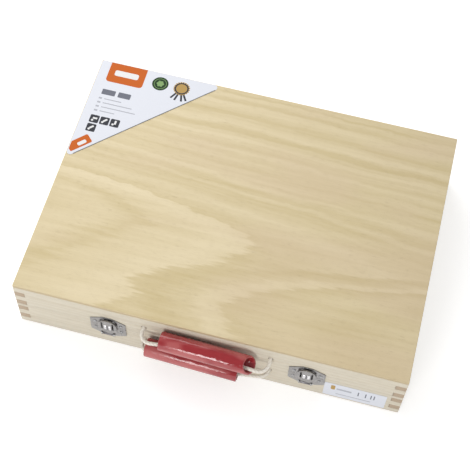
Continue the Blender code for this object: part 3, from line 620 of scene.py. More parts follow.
def board(name, axis, seed):
    """Planed softwood whose grain runs along X or along Y."""
    made, tree, shader = new_material(name, 0.55, Specular_IOR_Level=0.35)
    place = place_in_mm(tree)
    turned = place
    grain_axis = (1.0, 0.0, 0.0)
    if axis == "Y":
        grain_axis = (0.0, 1.0, 0.0)
        parts = node(tree, "ShaderNodeSeparateXYZ", {0: place}).outputs
        turned = {0: parts["Y"], 1: parts["X"], 2: parts["Z"]}
        turned = node(tree, "ShaderNodeCombineXYZ", turned).outputs[0]
    moved = vector_calc(tree, "ADD", turned, (seed * 83.0, seed * 29.0, seed * 17.0))
    slow = vector_calc(tree, "MULTIPLY", moved, (0.12, 1.0, 1.0))
    parts = node(tree, "ShaderNodeSeparateXYZ", {0: moved}).outputs
    number = calc(tree, "MULTIPLY_ADD", parts["Y"], BAND_TILT, parts["Z"])
    number = calc(tree, "DIVIDE", number, BAND_WIDTH)
    number = calc(tree, "MULTIPLY_ADD", noise(tree, slow, 0.05), BAND_WANDER, number)
    late = use_group(tree, BANDS, {"Band Number": number, "Evenness": 0.3})["Latewood"]
    fibre = use_group(tree, FIBRE, {"Position": moved, "Stretch": 0.04})
    colour = tinted(tree, (0.73, 0.67, 0.55), late, 0.5, (0.63, 0.55, 0.41))
    colour = tinted(tree, colour, fibre["Fibre"], 0.2, (0.45, 0.38, 0.28))
    colour = tinted(tree, colour, fibre["Pore"], 0.14, (0.30, 0.22, 0.14))
    ends = use_group(tree, END_GRAIN, {"Position": place, "Grain Axis": grain_axis})
    cut_colour = blend(tree, ends["Mottle"], (0.58, 0.46, 0.34), (0.36, 0.26, 0.17))
    colour = blend(tree, ends["Cut Across"], colour, cut_colour)
    finish_wood(tree, shader, colour, fibre, 0.46, 0.7, 0.08 * MM)
    return made


BOARDS = {}
for tray, start in (("base", 1.0), ("lid", 5.0)):
    for i, (place, axis) in enumerate((("front", "X"), ("back", "X"), ("left", "Y"), ("right", "Y"))):
        BOARDS[f"{tray}_{place}_wall"] = board(f"{tray}_{place}_board", axis, start + i)
print("boards:", len(BOARDS))

# %% [markdown]
# ## Metal, plastic, cotton and paper
#
# The latches are thin nickel plate over pressed steel, a little worn and cloudy; hinges and screws are
# plain zinc. The grips are red plastic, glossy where it is deep red and duller in patches whose paler red
# is a painted sheen, the cord is matte cotton with fine yarn across each strand and painted shade that
# winds with its strands, and the label is coated paper. Each gets relief at its own real scale.

# %% Group: brushed and cloudy metal
METAL_WEAR, given, result = new_group("metal_wear", [("Position", (0.0, 0.0, 0.0))], ["Cloud", "Scratch"])
METAL_WEAR.links.new(noise(METAL_WEAR, given["Position"], 0.35, 4.0, 0.6), result["Cloud"])
fine = vector_calc(METAL_WEAR, "MULTIPLY", given["Position"], (0.15, 1.0, 1.0))
METAL_WEAR.links.new(noise(METAL_WEAR, fine, 5.0, 2.0, 0.6), result["Scratch"])


def plated(name, bright, dull, roughness):
    """Plated steel with clouds and faint scratches."""
    made, tree, shader = new_material(name, roughness, Metallic=1.0)
    wear = use_group(tree, METAL_WEAR, {"Position": place_in_mm(tree)})
    tree.links.new(blend(tree, wear["Cloud"], bright, dull), shader.inputs["Base Color"])
    worn = calc(tree, "MULTIPLY_ADD", wear["Cloud"], 0.2, roughness - 0.1)
    tree.links.new(calc(tree, "MULTIPLY_ADD", wear["Scratch"], 0.1, worn), shader.inputs["Roughness"])
    set_bump(tree, shader, wear["Scratch"], 0.01 * MM)
    return made


# The first two nickels are painted light and painted shade on the latches: the bright one for highlights
# and a lit inside, the dark one for shade; the third is the plain plate.
painted_light_nickel = plated("painted_light_nickel", (0.88, 0.87, 0.88), (0.74, 0.73, 0.75), 0.16)
dark_nickel = plated("painted_shade_nickel", (0.24, 0.23, 0.24), (0.16, 0.155, 0.165), 0.36)
nickel = plated("nickel_plate", (0.39, 0.38, 0.375), (0.28, 0.27, 0.27), 0.24)
zinc = plated("zinc_steel", (0.56, 0.56, 0.56), (0.42, 0.42, 0.43), 0.34)

# %% Red plastic
red_plastic, tree, shader = new_material("red_plastic", 0.14, Specular_IOR_Level=0.5,
                                         Coat_Weight=0.35, Coat_Roughness=0.05)
where = place_in_mm(tree)
flow = vector_calc(tree, "MULTIPLY", where, (0.35, 1.0, 1.0))
streak = noise(tree, flow, 0.35, 3.0)
# Paler, duller patches: their paler red is a painted sheen, and they are also rougher.
sheen_patch = spread(tree, noise(tree, flow, 0.07), 0.42, 0.60)
deep = blend(tree, streak, (0.37, 0.030, 0.036), (0.29, 0.020, 0.026))
tree.links.new(blend(tree, sheen_patch, deep, (0.455, 0.096, 0.095)), shader.inputs["Base Color"])
gloss = calc(tree, "MULTIPLY_ADD", streak, 0.10, 0.06)
tree.links.new(calc(tree, "MULTIPLY_ADD", sheen_patch, 0.22, gloss), shader.inputs["Roughness"])
dents = noise(tree, vector_calc(tree, "MULTIPLY", where, (0.6, 1.0, 1.0)), 0.16, 2.0, 0.45)
set_bump(tree, shader, calc(tree, "MULTIPLY_ADD", streak, 0.12, dents), 1.6 * MM, 0.55)

# %% Cotton
cotton, tree, shader = new_material("cotton", 0.9, Sheen_Weight=0.25, Sheen_Roughness=0.5)
shader.inputs["Sheen Tint"].default_value = (1.0, 0.97, 0.9, 1)
winding = tree.nodes.new("ShaderNodeTexCoord").outputs["UV"]
parts = node(tree, "ShaderNodeSeparateXYZ", {0: winding}).outputs
phase = calc(tree, "FRACT", calc(tree, "MULTIPLY", calc(tree, "SUBTRACT", parts["X"], parts["Y"]), 3.0))
# Painted shade: a darker band that winds with the strands.
lay_shade = spread(tree, calc(tree, "ABSOLUTE", calc(tree, "SUBTRACT", phase, 0.5)), 0.30, 0.5)
across_strand = calc(tree, "MULTIPLY_ADD", parts["Y"], 2.0, parts["X"])
yarn = calc(tree, "SINE", calc(tree, "MULTIPLY", across_strand, 88.0))
fuzz = noise(tree, place_in_mm(tree), 5.0, 3.0, 0.7)
colour = blend(tree, fuzz, (0.96, 0.92, 0.84), (0.88, 0.82, 0.72))
colour = tinted(tree, colour, lay_shade, 0.35, (0.52, 0.44, 0.33))
tree.links.new(colour, shader.inputs["Base Color"])
height = calc(tree, "MULTIPLY_ADD", yarn, 0.35, calc(tree, "MULTIPLY", fuzz, 0.6))
set_bump(tree, shader, height, 0.12 * MM)

# %% Paper and printing inks


def coated_paper(name, colour, roughness=0.38, gloss=0.4):
    """Coated paper or ink on it, with a trace of fibre."""
    made, tree, shader = new_material(name, roughness, Specular_IOR_Level=gloss)
    grain = noise(tree, place_in_mm(tree), 2.2, 4.0, 0.6)
    darker = tuple(value * 0.93 for value in colour)
    tree.links.new(blend(tree, grain, colour, darker), shader.inputs["Base Color"])
    tree.links.new(calc(tree, "MULTIPLY_ADD", grain, 0.15, roughness - 0.07), shader.inputs["Roughness"])
    set_bump(tree, shader, grain, 0.02 * MM)
    return made


paper = coated_paper("white_paper", (0.76, 0.78, 0.845))
INKS = {
    "orange": coated_paper("orange_ink", (0.62, 0.135, 0.018), 0.55, 0.15),
    "green": coated_paper("green_ink", (0.018, 0.055, 0.016), 0.5, 0.2),
    "leaf": coated_paper("leaf_green_ink", (0.24, 0.40, 0.15), 0.5, 0.2),
    "gold": coated_paper("gold_ink", (0.50, 0.32, 0.10), 0.5, 0.2),
    "dark": coated_paper("dark_grey_ink", (0.040, 0.043, 0.055), 0.5, 0.2),
    "slate": coated_paper("slate_ink", (0.17, 0.18, 0.22), 0.5, 0.2),
    "grey": coated_paper("light_grey_ink", (0.44, 0.45, 0.50)),
    "white": coated_paper("white_ink", (0.82, 0.82, 0.82)),
}
for piece in [upper_cord, lower_cord] + upper_knots + lower_knots:
    set_look(piece.data, cotton)
print("materials:", len(bpy.data.materials))

# %% [markdown]
# ## Eased edges
#
# A sawn board or a stamped plate never has a perfectly sharp edge, and the light along that edge is
# what makes it look real. The solid's own mesh gives the shape: its flat triangles are merged into
# whole faces in a copy, a Bevel modifier rounds the copy's corners, and the copy stands for the solid.

# %% Copy and ease a solid
MERGE_DISTANCE = 0.001 * MM
FLAT_ANGLE = math.radians(0.4)
CORNER_ANGLE = math.radians(30)
EASE_SEGMENTS = 2


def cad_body(name):
    """The body that carries a frame piece."""
    for body, members in frame["record"]["behaviour"]["bodies"].items():
        if name in members:
            return body
    return None


def stand_for(made, name):
    """Let a piece replace a frame piece: it rides on the same body and the frame piece is hidden."""
    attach(made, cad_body(name))
    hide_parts(name)


def eased(name, width, look):
    """A copy of a frame piece with rounded edges, which replaces it."""
    mesh = frame["nodes"][name].data.copy()
    shape = bmesh.new()
    shape.from_mesh(mesh)
    bmesh.ops.remove_doubles(shape, verts=shape.verts, dist=MERGE_DISTANCE)
    bmesh.ops.dissolve_limit(shape, angle_limit=FLAT_ANGLE, verts=shape.verts, edges=shape.edges)
    shape.to_mesh(mesh)
    shape.free()
    set_look(mesh, look)
    mesh.shade_smooth()
    made = link_mesh(name + "_eased", mesh)
    bevel = made.modifiers.new("eased edges", "BEVEL")
    bevel.width = width
    bevel.segments = EASE_SEGMENTS
    bevel.limit_method = "ANGLE"
    bevel.angle_limit = CORNER_ANGLE
    bevel.harden_normals = True
    stand_for(made, name)
    return made


for name, look in BOARDS.items():
    eased(name, 0.35 * MM, look)
eased("lid_panel", 0.12 * MM, lid_veneer)
eased("base_panel", 0.12 * MM, base_veneer)
print("boards and panels eased")

# %% [markdown]
# ## Latches and hinges
#
# A latch flap is pressed from thin sheet, so its outer edge is a wide soft curve: seen from above it is
# the dark crescent of the latch. Only the edges round the outside of its face get that width, marked by
# a bevel weight; the slots keep a small one. Between the slots two short ridges are pressed out, with a
# painted highlight of bright nickel on their crests and painted shade of dark nickel on their sides. The
# barrel that the sheet is rolled into has painted shade in dark nickel, and the inside of the flap has
# painted light in bright nickel.

# %% Ease the plates
for number in (1, 2):
    for name in (f"latch_base_plate_{number}", f"latch_keeper_{number}"):
        eased(name, 0.15 * MM, nickel)
    for name in (f"hinge_base_leaf_{number}", f"hinge_lid_leaf_{number}"):
        eased(name, 0.2 * MM, zinc)
print("plates eased")

# %% Press the flaps
FLAP_CURVE = 1.35 * MM
CURVE_SEGMENTS = 6
FLATNESS = 0.01 * MM

# The flat face lies above FACE_LOW; its slots lie near its middle, under SLOT_TOP
FACE_LOW = 33.0 * MM
SLOT_REACH = 6.6 * MM
SLOT_TOP = 46.2 * MM

# The barrel lies round the latch's pin
PIN_Y = -138.8 * MM
PIN_Z = 23.5 * MM
BARREL_RADIUS = 1.8 * MM


def pressed_flap(name, middle_x):
    """The flap with a wide curve round the outside of its face; gives the plane of the face."""
    made = eased(name, 0.15 * MM, nickel)
    shape = bmesh.new()
    shape.from_mesh(made.data)
    face_y = min(vert.co.y for vert in shape.verts if vert.co.z > FACE_LOW)
    weight = shape.edges.layers.float.new("bevel_weight_edge")
    for edge in shape.edges:
        on_face = all(abs(vert.co.y - face_y) < FLATNESS for vert in edge.verts)
        near_slot = all(abs(vert.co.x - middle_x) < SLOT_REACH and vert.co.z < SLOT_TOP
                        for vert in edge.verts)
        if on_face and not near_slot:
            edge[weight] = 1.0
    for face in shape.faces:
        middle = face.calc_center_median()
        looks_back = face.normal.y > 0.5
        # Painted shade: dark nickel on the barrel. Painted light: bright nickel on the faces that look
        # back.
        if math.hypot(middle.y - PIN_Y, middle.z - PIN_Z) < BARREL_RADIUS:
            face.material_index = 1
        elif looks_back:
            face.material_index = 2
    shape.to_mesh(made.data)
    shape.free()
    made.data.materials.append(dark_nickel)
    made.data.materials.append(painted_light_nickel)
    curve = made.modifiers.new("pressed curve", "BEVEL")
    curve.width = FLAP_CURVE
    curve.segments = CURVE_SEGMENTS
    curve.limit_method = "WEIGHT"
    curve.harden_normals = True
    made.modifiers.move(1, 0)
    return face_y


# %% Raise the ridges between the slots
LATCH_X = 95.0 * MM
TONGUE_LOW = 32.8 * MM
TONGUE_HIGH = 40.4 * MM
TONGUE_WIDTH = 8.2 * MM
TONGUE_RISE = 0.85 * MM
TONGUE_ROOT = 0.3 * MM

# As shares of half the tongue's width
RIDGE_PLACE = 0.5
RIDGE_SPREAD = 0.24
# Where the painted highlight lies across each ridge
CREST_FROM, CREST_TO = 0.24, 0.80


def pressed_tongue(name, x, face_y):
    """Two short ridges side by side that stand out of the flap between its slots, closed behind."""
    across, up = 24, 20
    foot = math.exp(-(RIDGE_PLACE / RIDGE_SPREAD) ** 2)
    shape = bmesh.new()
    rows = []
    for j in range(up + 1):
        v = 2 * j / up - 1
        row = []
        for i in range(across + 1):
            u = 2 * i / across - 1
            ridge = math.exp(-((abs(u) - RIDGE_PLACE) / RIDGE_SPREAD) ** 2) - foot
            out = TONGUE_RISE * max(ridge, 0.0) * math.sqrt(max(0.0, 1 - v * v))
            height = TONGUE_LOW + (v + 1) / 2 * (TONGUE_HIGH - TONGUE_LOW)
            row.append(shape.verts.new((x + u * TONGUE_WIDTH / 2, face_y - out, height)))
        rows.append(row)
    for lower, upper in zip(rows, rows[1:]):
        for i in range(across):
            shape.faces.new((lower[i], lower[i + 1], upper[i + 1], upper[i]))
    edge = bmesh.ops.extrude_face_region(shape, geom=list(shape.faces))
    back_verts = [item for item in edge["geom"] if isinstance(item, bmesh.types.BMVert)]
    for vert in back_verts:
        vert.co.y = face_y + TONGUE_ROOT
    # Painted highlight: bright nickel on the crests; painted shade: dark nickel on the rest of the tongue.
    for face in shape.faces:
        u = abs(face.calc_center_median().x - x) / (TONGUE_WIDTH / 2)
        face.material_index = 0 if CREST_FROM < u < CREST_TO else 1
    bmesh.ops.recalc_face_normals(shape, faces=shape.faces)
    mesh = mesh_from(shape, name)
    mesh.shade_smooth()
    mesh.set_sharp_from_angle(angle=math.radians(50))
    mesh.materials.append(painted_light_nickel)
    mesh.materials.append(dark_nickel)
    return link_mesh(name, mesh)


for number, x, body in ((1, -LATCH_X, "left_latch"), (2, LATCH_X, "right_latch")):
    face_y = pressed_flap(f"latch_flap_{number}", x)
    tongue = pressed_tongue(f"latch_tongue_{number}", x, face_y)
    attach(tongue, body)
print("flaps and ridges pressed")

# %% [markdown]
# ## Grips
#
# Each grip is a hollow tube cut from a hose. A turned profile is the natural way: the outline of the
# wall, with soft rims, is spun about the tube's axis. The upper tube's right end is cut at a slant that
# faces up and forward, so its end is sheared: each point there slides along the axis by how far it lies
# towards the short lip. Both tubes stand off a little more at their right ends.

# %% Spin the grips
GRIP_SIDES = 72
GRIP_RADIUS = 9.0 * MM
GRIP_BORE = 7.0 * MM
OUTER_RIM = 0.9 * MM
INNER_RIM = 0.5 * MM
RIM_POINTS = 5
GRIP_YAW = math.radians(-1.7)
END_SLANT = math.radians(31.0)
END_LEAN = math.radians(24.0)
GRIPS = {
    "upper": (Vector((3.5, -147.6, 53.0)) * MM, 90.0 * MM, True),
    "lower": (Vector((-11.0, -147.6, 31.5)) * MM, 89.0 * MM, False),
}


def spun(name, profile, sides):
    """A closed profile of (radius, height) pairs turned about the Z axis."""
    shape = bmesh.new()
    rings = []
    for k in range(sides):
        angle = 2 * math.pi * k / sides
        rings.append([shape.verts.new((r * math.cos(angle), r * math.sin(angle), z)) for r, z in profile])
    for k in range(sides):
        here, there = rings[k], rings[(k + 1) % sides]
        for i in range(len(profile)):
            j = (i + 1) % len(profile)
            shape.faces.new((here[i], there[i], there[j], here[j]))
    bmesh.ops.recalc_face_normals(shape, faces=shape.faces)
    mesh = mesh_from(shape, name)
    mesh.shade_smooth()
    return link_mesh(name, mesh)


def rim(centre_r, centre_z, radius, start):
    """Points of a quarter circle in the profile, from a start angle in degrees."""
    angles = [math.radians(start + 90 * i / (RIM_POINTS - 1)) for i in range(RIM_POINTS)]
    return [(centre_r + radius * math.cos(a), centre_z + radius * math.sin(a)) for a in angles]


short_lip = Vector((-math.cos(END_LEAN), -math.sin(END_LEAN), 0.0))
for level_name, (middle, length, slanted) in GRIPS.items():
    half = length / 2
    outside, inside = GRIP_RADIUS - OUTER_RIM, GRIP_BORE + INNER_RIM
    profile = rim(outside, half - OUTER_RIM, OUTER_RIM, 0)
    profile += rim(inside, half - INNER_RIM, INNER_RIM, 90)
    profile += rim(inside, INNER_RIM - half, INNER_RIM, 180)
    profile += rim(outside, OUTER_RIM - half, OUTER_RIM, 270)
    turned = Matrix.Rotation(math.radians(90), 4, "Y")
    grip = spun(level_name + "_red_grip", profile, GRIP_SIDES)
    if slanted:
        for vert in grip.data.vertices:
            if vert.co.z > 0:
                vert.co.z -= (GRIP_RADIUS + vert.co.dot(short_lip)) * math.tan(END_SLANT)
    grip.data.transform(Matrix.Translation(middle) @ Matrix.Rotation(GRIP_YAW, 4, "Z") @ turned)
    grip.data.materials.append(red_plastic)
    stand_for(grip, level_name + "_grip")
print("grips spun")

# %% [markdown]
# ## Screws
#
# A screw is a turned profile, and its cross recess is cut by a Boolean with two thin crossed bars. The
# cut is made once for each of the two sizes, and every screw of a size is a copy of it, turned by its own
# angle as screws are.

# %% Cut the screws
SCREW_SIDES = 28
CROWN_STEPS = 9
TIP_RADIUS = 0.0001 * MM
TURN_STEP = math.radians(37)

# As shares of the head's radius
RECESS_LENGTH = 1.25
RECESS_WIDTH = 0.24

# In millimetres: head radius, head height, shank radius, length under the head
SCREW_SIZES = {"latch": (1.6, 0.8, 0.78, 6.9), "hinge": (2.3, 0.8, 0.98, 7.9)}


def screw_mesh(name, head_radius, head_height, shank_radius, length):
    """A round-headed screw along Z with a cross recess, its seat at zero."""
    profile = [(TIP_RADIUS, head_height)]
    for i in range(1, CROWN_STEPS):
        angle = math.radians(90 * i / CROWN_STEPS)
        profile.append((head_radius * math.sin(angle), head_height * math.cos(angle)))
    profile += [(head_radius, 0.0), (shank_radius, 0.0), (shank_radius, -length), (TIP_RADIUS, -length)]
    body = spun(name, profile, SCREW_SIDES)
    tool_shape = bmesh.new()
    for turn in (0, 90):
        spin = Matrix.Rotation(math.radians(turn), 4, "Z")
        flat = Matrix.Diagonal((head_radius * RECESS_LENGTH, head_radius * RECESS_WIDTH, head_height, 1))
        place = spin @ Matrix.Translation((0, 0, head_height)) @ flat
        bmesh.ops.create_cube(tool_shape, size=1.0, matrix=place)
    tool = link_mesh("recess_tool", mesh_from(tool_shape, "recess_tool"))
    recess = body.modifiers.new("recess", "BOOLEAN")
    recess.operation = "DIFFERENCE"
    recess.solver = "EXACT"
    recess.use_self = True
    recess.object = tool
    bpy.context.view_layer.update()
    mesh = bpy.data.meshes.new_from_object(body.evaluated_get(bpy.context.evaluated_depsgraph_get()))
    for piece in (body, tool):
        bpy.data.objects.remove(piece, do_unlink=True)
    mesh.shade_smooth()
    mesh.set_sharp_from_angle(angle=math.radians(35))
    set_look(mesh, zinc)
    return mesh


def set_screws(kind, size):
    """Put a cut screw in place of each frame screw of one kind."""
    head_radius, head_height, shank_radius, length = (value * MM for value in size)
    pattern = screw_mesh(kind + "_screw_pattern", head_radius, head_height, shank_radius, length)
    count = 0
    for name in frame["nodes"]:
        if not name.startswith(kind) or "screw" not in name:
            continue
        low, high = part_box(name)
        middle = (low + high) / 2
        front = middle.y < 0
        seat = low.y + head_height if front else high.y - head_height
        way = Matrix.Rotation(math.radians(90 if front else -90), 4, "X")
        twist = Matrix.Rotation(TURN_STEP * count, 4, "Z")
        mesh = pattern.copy()
        mesh.transform(Matrix.Translation((middle.x, seat, middle.z)) @ way @ twist)
        stand_for(link_mesh(name + "_cut", mesh), name)
        count += 1
    bpy.data.meshes.remove(pattern)
    return count


# %% Set the screws and finish the pins
screw_count = sum(set_screws(kind, size) for kind, size in SCREW_SIZES.items())
for name, piece in frame["nodes"].items():
    if "pin" in name:
        set_look(piece.data, zinc)
print("screws:", screw_count)

# %% [markdown]
# ## Glue lines
#
# Each panel is glued on its walls. The solids keep a thin gap there, which would read as a dark line, so
# a bead of dried glue fills it: a flat ring just inside the edges.

# %% Lay the glue
GLUE_OUTER = Vector((184.9, 135.9)) * MM
GLUE_INNER = Vector((176.0, 127.0)) * MM
GLUE_HEIGHTS = {"lid": (65.72 * MM, 65.98 * MM), "base": (4.02 * MM, 4.28 * MM)}


def glue_ring(name, body, low, high, look):
    """A thin rectangular ring between a panel and its walls."""
    shape = bmesh.new()
    loops = []
    for half, z in ((GLUE_OUTER, low), (GLUE_OUTER, high), (GLUE_INNER, high), (GLUE_INNER, low)):
        corners = ((-half.x, -half.y), (half.x, -half.y), (half.x, half.y), (-half.x, half.y))
        loops.append([shape.verts.new((x, y, z)) for x, y in corners])
    for first, second in zip(loops, loops[1:] + loops[:1]):
        for k in range(4):
            j = (k + 1) % 4
            shape.faces.new((first[k], first[j], second[j], second[k]))
    bmesh.ops.recalc_face_normals(shape, faces=shape.faces)
    ring = link_mesh(name, mesh_from(shape, name))
    set_look(ring.data, look)
    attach(ring, body)


for tray, (low, high) in GLUE_HEIGHTS.items():
    glue_ring(tray + "_glue_line", tray, low, high, BOARDS[tray + "_front_wall"])
print("glue lines laid")

# %% [markdown]
# ## Label and sticker
#
# The label is a triangle of white paper whose tips are rounded. Its printing is left without words:
# plain patches, a badge, a rosette and a few bars stand where words and pictures would be. Printing
# could be painted with masks in a shader, but thin inked shapes stay sharp at any distance, so each one
# is a sheet a few hundredths of a millimetre thick, laid on the paper or on the ink under it.

# %% Flat shapes
ARC_POINTS = 6


def flat_shape(shape, outline, low, high, index, matrix):
    """Add a thin closed sheet with the given outline, in millimetres, to a bmesh."""
    lower = [shape.verts.new(matrix @ Vector((x * MM, y * MM, low))) for x, y in outline]
    upper = [shape.verts.new(matrix @ Vector((x * MM, y * MM, high))) for x, y in outline]
    faces = [shape.faces.new(upper), shape.faces.new(list(reversed(lower)))]
    for i in range(len(outline)):
        j = (i + 1) % len(outline)
        faces.append(shape.faces.new((lower[i], lower[j], upper[j], upper[i])))
    for face in faces:
        face.material_index = index


def soft_polygon(corners, radii):
    """A polygon, listed anticlockwise, whose corners are arcs."""
    points = []
    for i, corner in enumerate(corners):
        here = Vector(corner)
        back_way = (Vector(corners[i - 1]) - here).normalized()
        on_way = (Vector(corners[(i + 1) % len(corners)]) - here).normalized()
        half = back_way.angle(on_way) / 2
        centre = here + (back_way + on_way).normalized() * radii[i] / math.sin(half)
        first = here + back_way * radii[i] / math.tan(half) - centre
        last = here + on_way * radii[i] / math.tan(half) - centre
        start = math.degrees(math.atan2(first.y, first.x))
        sweep = (math.degrees(math.atan2(last.y, last.x)) - start) % 360
        for k in range(ARC_POINTS):
            angle = math.radians(start + sweep * k / (ARC_POINTS - 1))
            points.append((centre.x + radii[i] * math.cos(angle), centre.y + radii[i] * math.sin(angle)))
    return points


def disc(x, y, radius, sides=40, ripple=0.0, teeth=0):
    """A round outline, scalloped if asked."""
    points = []
    for k in range(sides):
        angle = 2 * math.pi * k / sides
        reach = radius + ripple * math.cos(teeth * angle)
        points.append((x + reach * math.cos(angle), y + reach * math.sin(angle)))
    return points


def bar(x, y, width, height, tilt=0.0, soft=0.2):
    """A rounded rectangle about a centre, turned by a tilt in degrees."""
    corners = [(across * width / 2, up * height / 2) for across, up in ((-1, -1), (1, -1), (1, 1), (-1, 1))]
    points = soft_polygon(corners, [soft] * 4)
    c, s = math.cos(math.radians(tilt)), math.sin(math.radians(tilt))
    return [(x + px * c - py * s, y + px * s + py * c) for px, py in points]


def sheet_piece(name, matrix, looks, layers, node_name=None, body=None):
    """One piece from flat layers: (outline, low, high, look number)."""
    shape = bmesh.new()
    for outline, low, high, index in layers:
        flat_shape(shape, outline, low, high, index, matrix)
    made = link_mesh(name, mesh_from(shape, name))
    for look in looks:
        made.data.materials.append(look)
    if node_name:
        stand_for(made, node_name)
    else:
        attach(made, body)


# %% Cut the label and print it
LID_TOP = 70.0 * MM
LABEL_LEFT = -184.3
LABEL_BACK = 135.3
PAPER_LOW = LID_TOP + 0.10 * MM
PAPER_HIGH = LID_TOP + 0.24 * MM
INK_1 = LID_TOP + 0.26 * MM
INK_2 = LID_TOP + 0.28 * MM
INK_3 = LID_TOP + 0.30 * MM
INK_TOP = INK_3 + 0.01 * MM
INK_LEVELS = {1: (PAPER_HIGH, INK_1), 2: (INK_1, INK_2), 3: (INK_2, INK_3), 4: (INK_2, INK_TOP)}
STILL = Matrix.Identity(4)
LOOKS = list(INKS.values())
ORANGE, GREEN, LEAF, GOLD, DARK, SLATE, GREY, WHITE = range(len(LOOKS))

triangle = soft_polygon([(LABEL_LEFT, LABEL_BACK - 125.0), (LABEL_LEFT + 127.5, LABEL_BACK),
                         (LABEL_LEFT, LABEL_BACK)], [3.5, 3.5, 1.5])
sheet_piece("label_paper", STILL, [paper], [(triangle, PAPER_LOW, PAPER_HIGH, 0)], "corner_label")
layers = []


def ink(outline, look, level=1):
    """Lay a thin coloured outline on the label, at one of four levels."""
    low, high = INK_LEVELS[level]
    layers.append((outline, low, high, look))


ink(soft_polygon([(-174.4, 110.6), (-136.0, 110.6), (-136.0, 135.0), (-174.4, 135.0)],
                 [3.5, 3.5, 0.3, 0.3]), ORANGE)
ink(bar(-155.2, 123.0, 25.0, 7.0, 0, 2.0), WHITE, 2)
ink(disc(-119.2, 121.8, 8.4), GREEN)
ink(disc(-119.2, 121.8, 6.5), LEAF, 2)
ink(disc(-119.2, 121.8, 6.0), GREEN, 3)
ink(disc(-119.2, 121.8, 3.6, 24, 0.5, 6), LEAF, 4)
for tilt in (-30, -13, 13, 30):
    spin = math.radians(tilt)
    ink(bar(-96.6 + 11.8 * math.sin(spin), 121.6 - 11.8 * math.cos(spin), 2.0, 8.6, tilt), DARK)
ink(disc(-96.6, 121.6, 8.2, 120, 0.5, 20), GOLD, 2)
ink(disc(-96.6, 121.6, 7.3, 120, 0.4, 20), DARK, 3)
ink(disc(-96.6, 121.6, 5.7), GOLD, 4)
for x, width in ((-166.3, 14.0), (-149.8, 13.0)):
    ink(bar(x, 97.0, width, 6.6, 0, 0.8), SLATE)
for y, end in ((88.5, -150.5), (83.4, -138.0), (78.2, -133.0), (73.0, -153.0)):
    ink(bar(-172.4, y, 3.4, 2.0), GREY)
    ink(bar((end - 168.4) / 2, y, end + 168.4, 1.1), GREY)
for column, row in ((0, 0), (1, 0), (2, 0), (0, 1)):
    x = -170.3 + 10.6 * column
    y = 62.3 - 11.0 * row
    ink(bar(x, y, 9.4, 9.4, 0, 1.2), DARK)
    ink(bar(x + 0.5, y + 0.8, 4.6, 2.0, 45 * (column + row)), WHITE, 2)
    ink(disc(x - 1.7, y - 1.9, 1.2, 16), WHITE, 2)
ink(soft_polygon([(-183.4, 21.5), (-180.4, 18.6), (-163.6, 35.3), (-171.0, 43.0), (-183.4, 30.6)],
                 [1.2, 1.2, 1.5, 1.5, 1.0]), ORANGE)
ink(bar(-173.2, 31.6, 9.5, 4.0, 45, 1.6), WHITE, 2)
# A thin slate line just inside the long edge is painted shade along the paper's edge.
start, end = Vector((-177.5, 17.2)), Vector((-63.5, 129.0))
normal = Vector((end.y - start.y, start.x - end.x)).normalized() * 0.35
ink([tuple(start + normal), tuple(end + normal), tuple(end - normal), tuple(start - normal)], SLATE)
sheet_piece("label_print_and_edge_shade", STILL, LOOKS, layers, body="lid")

# %% Sticker
STICKER_LOW = 0.10 * MM
STICKER_HIGH = 0.26 * MM
STICKER_INK = 0.28 * MM

sticker_low, sticker_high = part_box("front_sticker")
on_front = Matrix.Translation((0, FRONT, 0)) @ Matrix.Rotation(math.radians(90), 4, "X")
left, right = sticker_low.x / MM, sticker_high.x / MM
low, high = sticker_low.z / MM, sticker_high.z / MM
outline = soft_polygon([(left, low), (right, low), (right, high), (left, high)], [1.5] * 4)
sheet_piece("sticker_paper", on_front, [paper], [(outline, STICKER_LOW, STICKER_HIGH, 0)], "front_sticker")
marks = [(bar(121.0, 22.0, 4.0, 9.0, 0, 1.5), GOLD), (bar(131.5, 20.2, 14.0, 3.2), GREY),
         (bar(141.0, 9.6, 33.0, 1.4), GREY)]
marks += [(bar(x, 20.0, 1.1, 8.5), SLATE) for x in (145.0, 152.0, 157.0, 160.0)]
printing = [(shape, STICKER_HIGH, STICKER_INK, look) for shape, look in marks]
sheet_piece("sticker_printing", on_front, LOOKS, printing, body="base")
print("label and sticker laid")

# %% [markdown]
# ## Floor and light
#
# The picture has a white floor that stays white right up to a soft shadow along the front. A floor
# bright enough for that would also wash out the box, so its extra brightness is only for the camera and
# for reflections, and it grows with the distance, so that the floor meets the white surround without an
# edge. The light is a large soft lamp high behind the left and a weaker, lower one from the front, small
# enough to leave crisp highlights on the grips. Plated metal shows what it mirrors, so reflections see a
# dark ceiling above the white surround: without it the latches would be as pale as the floor.

# %% Floor
FLOOR_SIZE = 6.0
FLOOR_WHITE = 0.80

# Distances from the origin in metres, and the floor's own glow there
GLOW_START, GLOW_END = 0.45, 1.5
NEAR_GLOW, FAR_GLOW = 0.44, 1.1


def empty_tree(owner):
    """Switch nodes on for a material or a world, and clear its tree."""
    owner.use_nodes = True
    owner.node_tree.nodes.clear()
    return owner.node_tree


floor_shape = bmesh.new()
bmesh.ops.create_grid(floor_shape, x_segments=1, y_segments=1, size=FLOOR_SIZE / 2)
floor = link_mesh("floor", mesh_from(floor_shape, "floor"))
floor_look = bpy.data.materials.new("white_floor")
tree = empty_tree(floor_look)
matte = node(tree, "ShaderNodeBsdfDiffuse", {"Color": (FLOOR_WHITE, FLOOR_WHITE, FLOOR_WHITE, 1)})
seen = tree.nodes.new("ShaderNodeLightPath").outputs
direct = calc(tree, "MAXIMUM", seen["Is Camera Ray"], seen["Is Glossy Ray"])
direct = calc(tree, "MAXIMUM", direct, seen["Is Transmission Ray"])
where = tree.nodes.new("ShaderNodeTexCoord").outputs["Object"]
reach = node(tree, "ShaderNodeVectorMath", {0: where}, operation="LENGTH").outputs["Value"]
white = spread(tree, reach, GLOW_START, GLOW_END, NEAR_GLOW, FAR_GLOW)
brightness = calc(tree, "MULTIPLY", direct, white)
glow = node(tree, "ShaderNodeEmission", {"Color": (1, 1, 1, 1), "Strength": brightness})
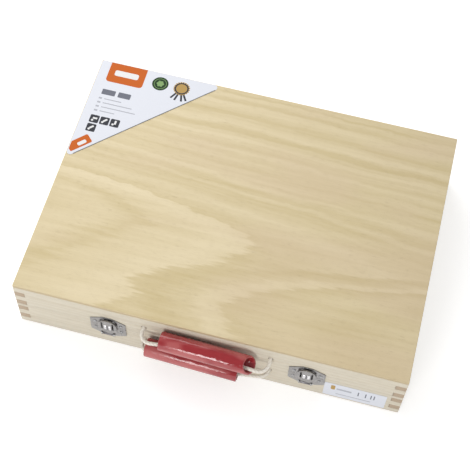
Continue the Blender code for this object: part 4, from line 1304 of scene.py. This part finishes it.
both = node(tree, "ShaderNodeAddShader", {0: matte.outputs[0], 1: glow.outputs[0]})
node(tree, "ShaderNodeOutputMaterial", {"Surface": both.outputs[0]})
set_look(floor.data, floor_look)
print("floor laid")

# %% World and lamps
ROOM_LIGHT = 0.68
CAMERA_EXTRA = 0.32
CEILING_LIGHT = 0.28

# How steeply up a reflection has to look to see the ceiling
CEILING_START, CEILING_END = 0.06, 0.22

world = bpy.data.worlds.new("white_room")
tree = empty_tree(world)
seen = tree.nodes.new("ShaderNodeLightPath").outputs
facing = tree.nodes.new("ShaderNodeTexCoord").outputs["Generated"]
climb = node(tree, "ShaderNodeSeparateXYZ", {0: facing}).outputs["Z"]
direct = calc(tree, "MAXIMUM", seen["Is Camera Ray"], seen["Is Transmission Ray"])
plain = calc(tree, "MULTIPLY_ADD", direct, CAMERA_EXTRA, ROOM_LIGHT)
ceiling = spread(tree, climb, CEILING_START, CEILING_END, 1.0, CEILING_LIGHT)
strength = node(tree, "ShaderNodeMix", {0: seen["Is Glossy Ray"], 2: plain, 3: ceiling}, data_type="FLOAT")
sky = node(tree, "ShaderNodeBackground", {"Color": (1, 1, 1, 1), "Strength": strength.outputs[0]})
node(tree, "ShaderNodeOutputWorld", {"Surface": sky.outputs[0]})
bpy.context.scene.world = world

# Where each lamp stands and what it aims at in metres, the side of its square in metres, its watts
LAMPS = {
    "key_lamp": ((-0.84, 0.97, 1.10), (-0.02, 0.0, 0.03), 1.3, 14.2),
    "front_lamp": ((-0.21, -1.42, 0.52), (0.0, -0.1, 0.03), 0.40, 6.0),
}
for name, (place, aim, size, power) in LAMPS.items():
    lamp = bpy.data.lights.new(name, "AREA")
    lamp.size = size
    lamp.energy = power
    stand = bpy.data.objects.new(name, lamp)
    stand.location = place
    stand.rotation_euler = (Vector(aim) - Vector(place)).to_track_quat("-Z", "Y").to_euler()
    bpy.context.scene.collection.objects.link(stand)
bpy.context.scene.view_settings.view_transform = "Standard"
print("lamps:", ", ".join(LAMPS))
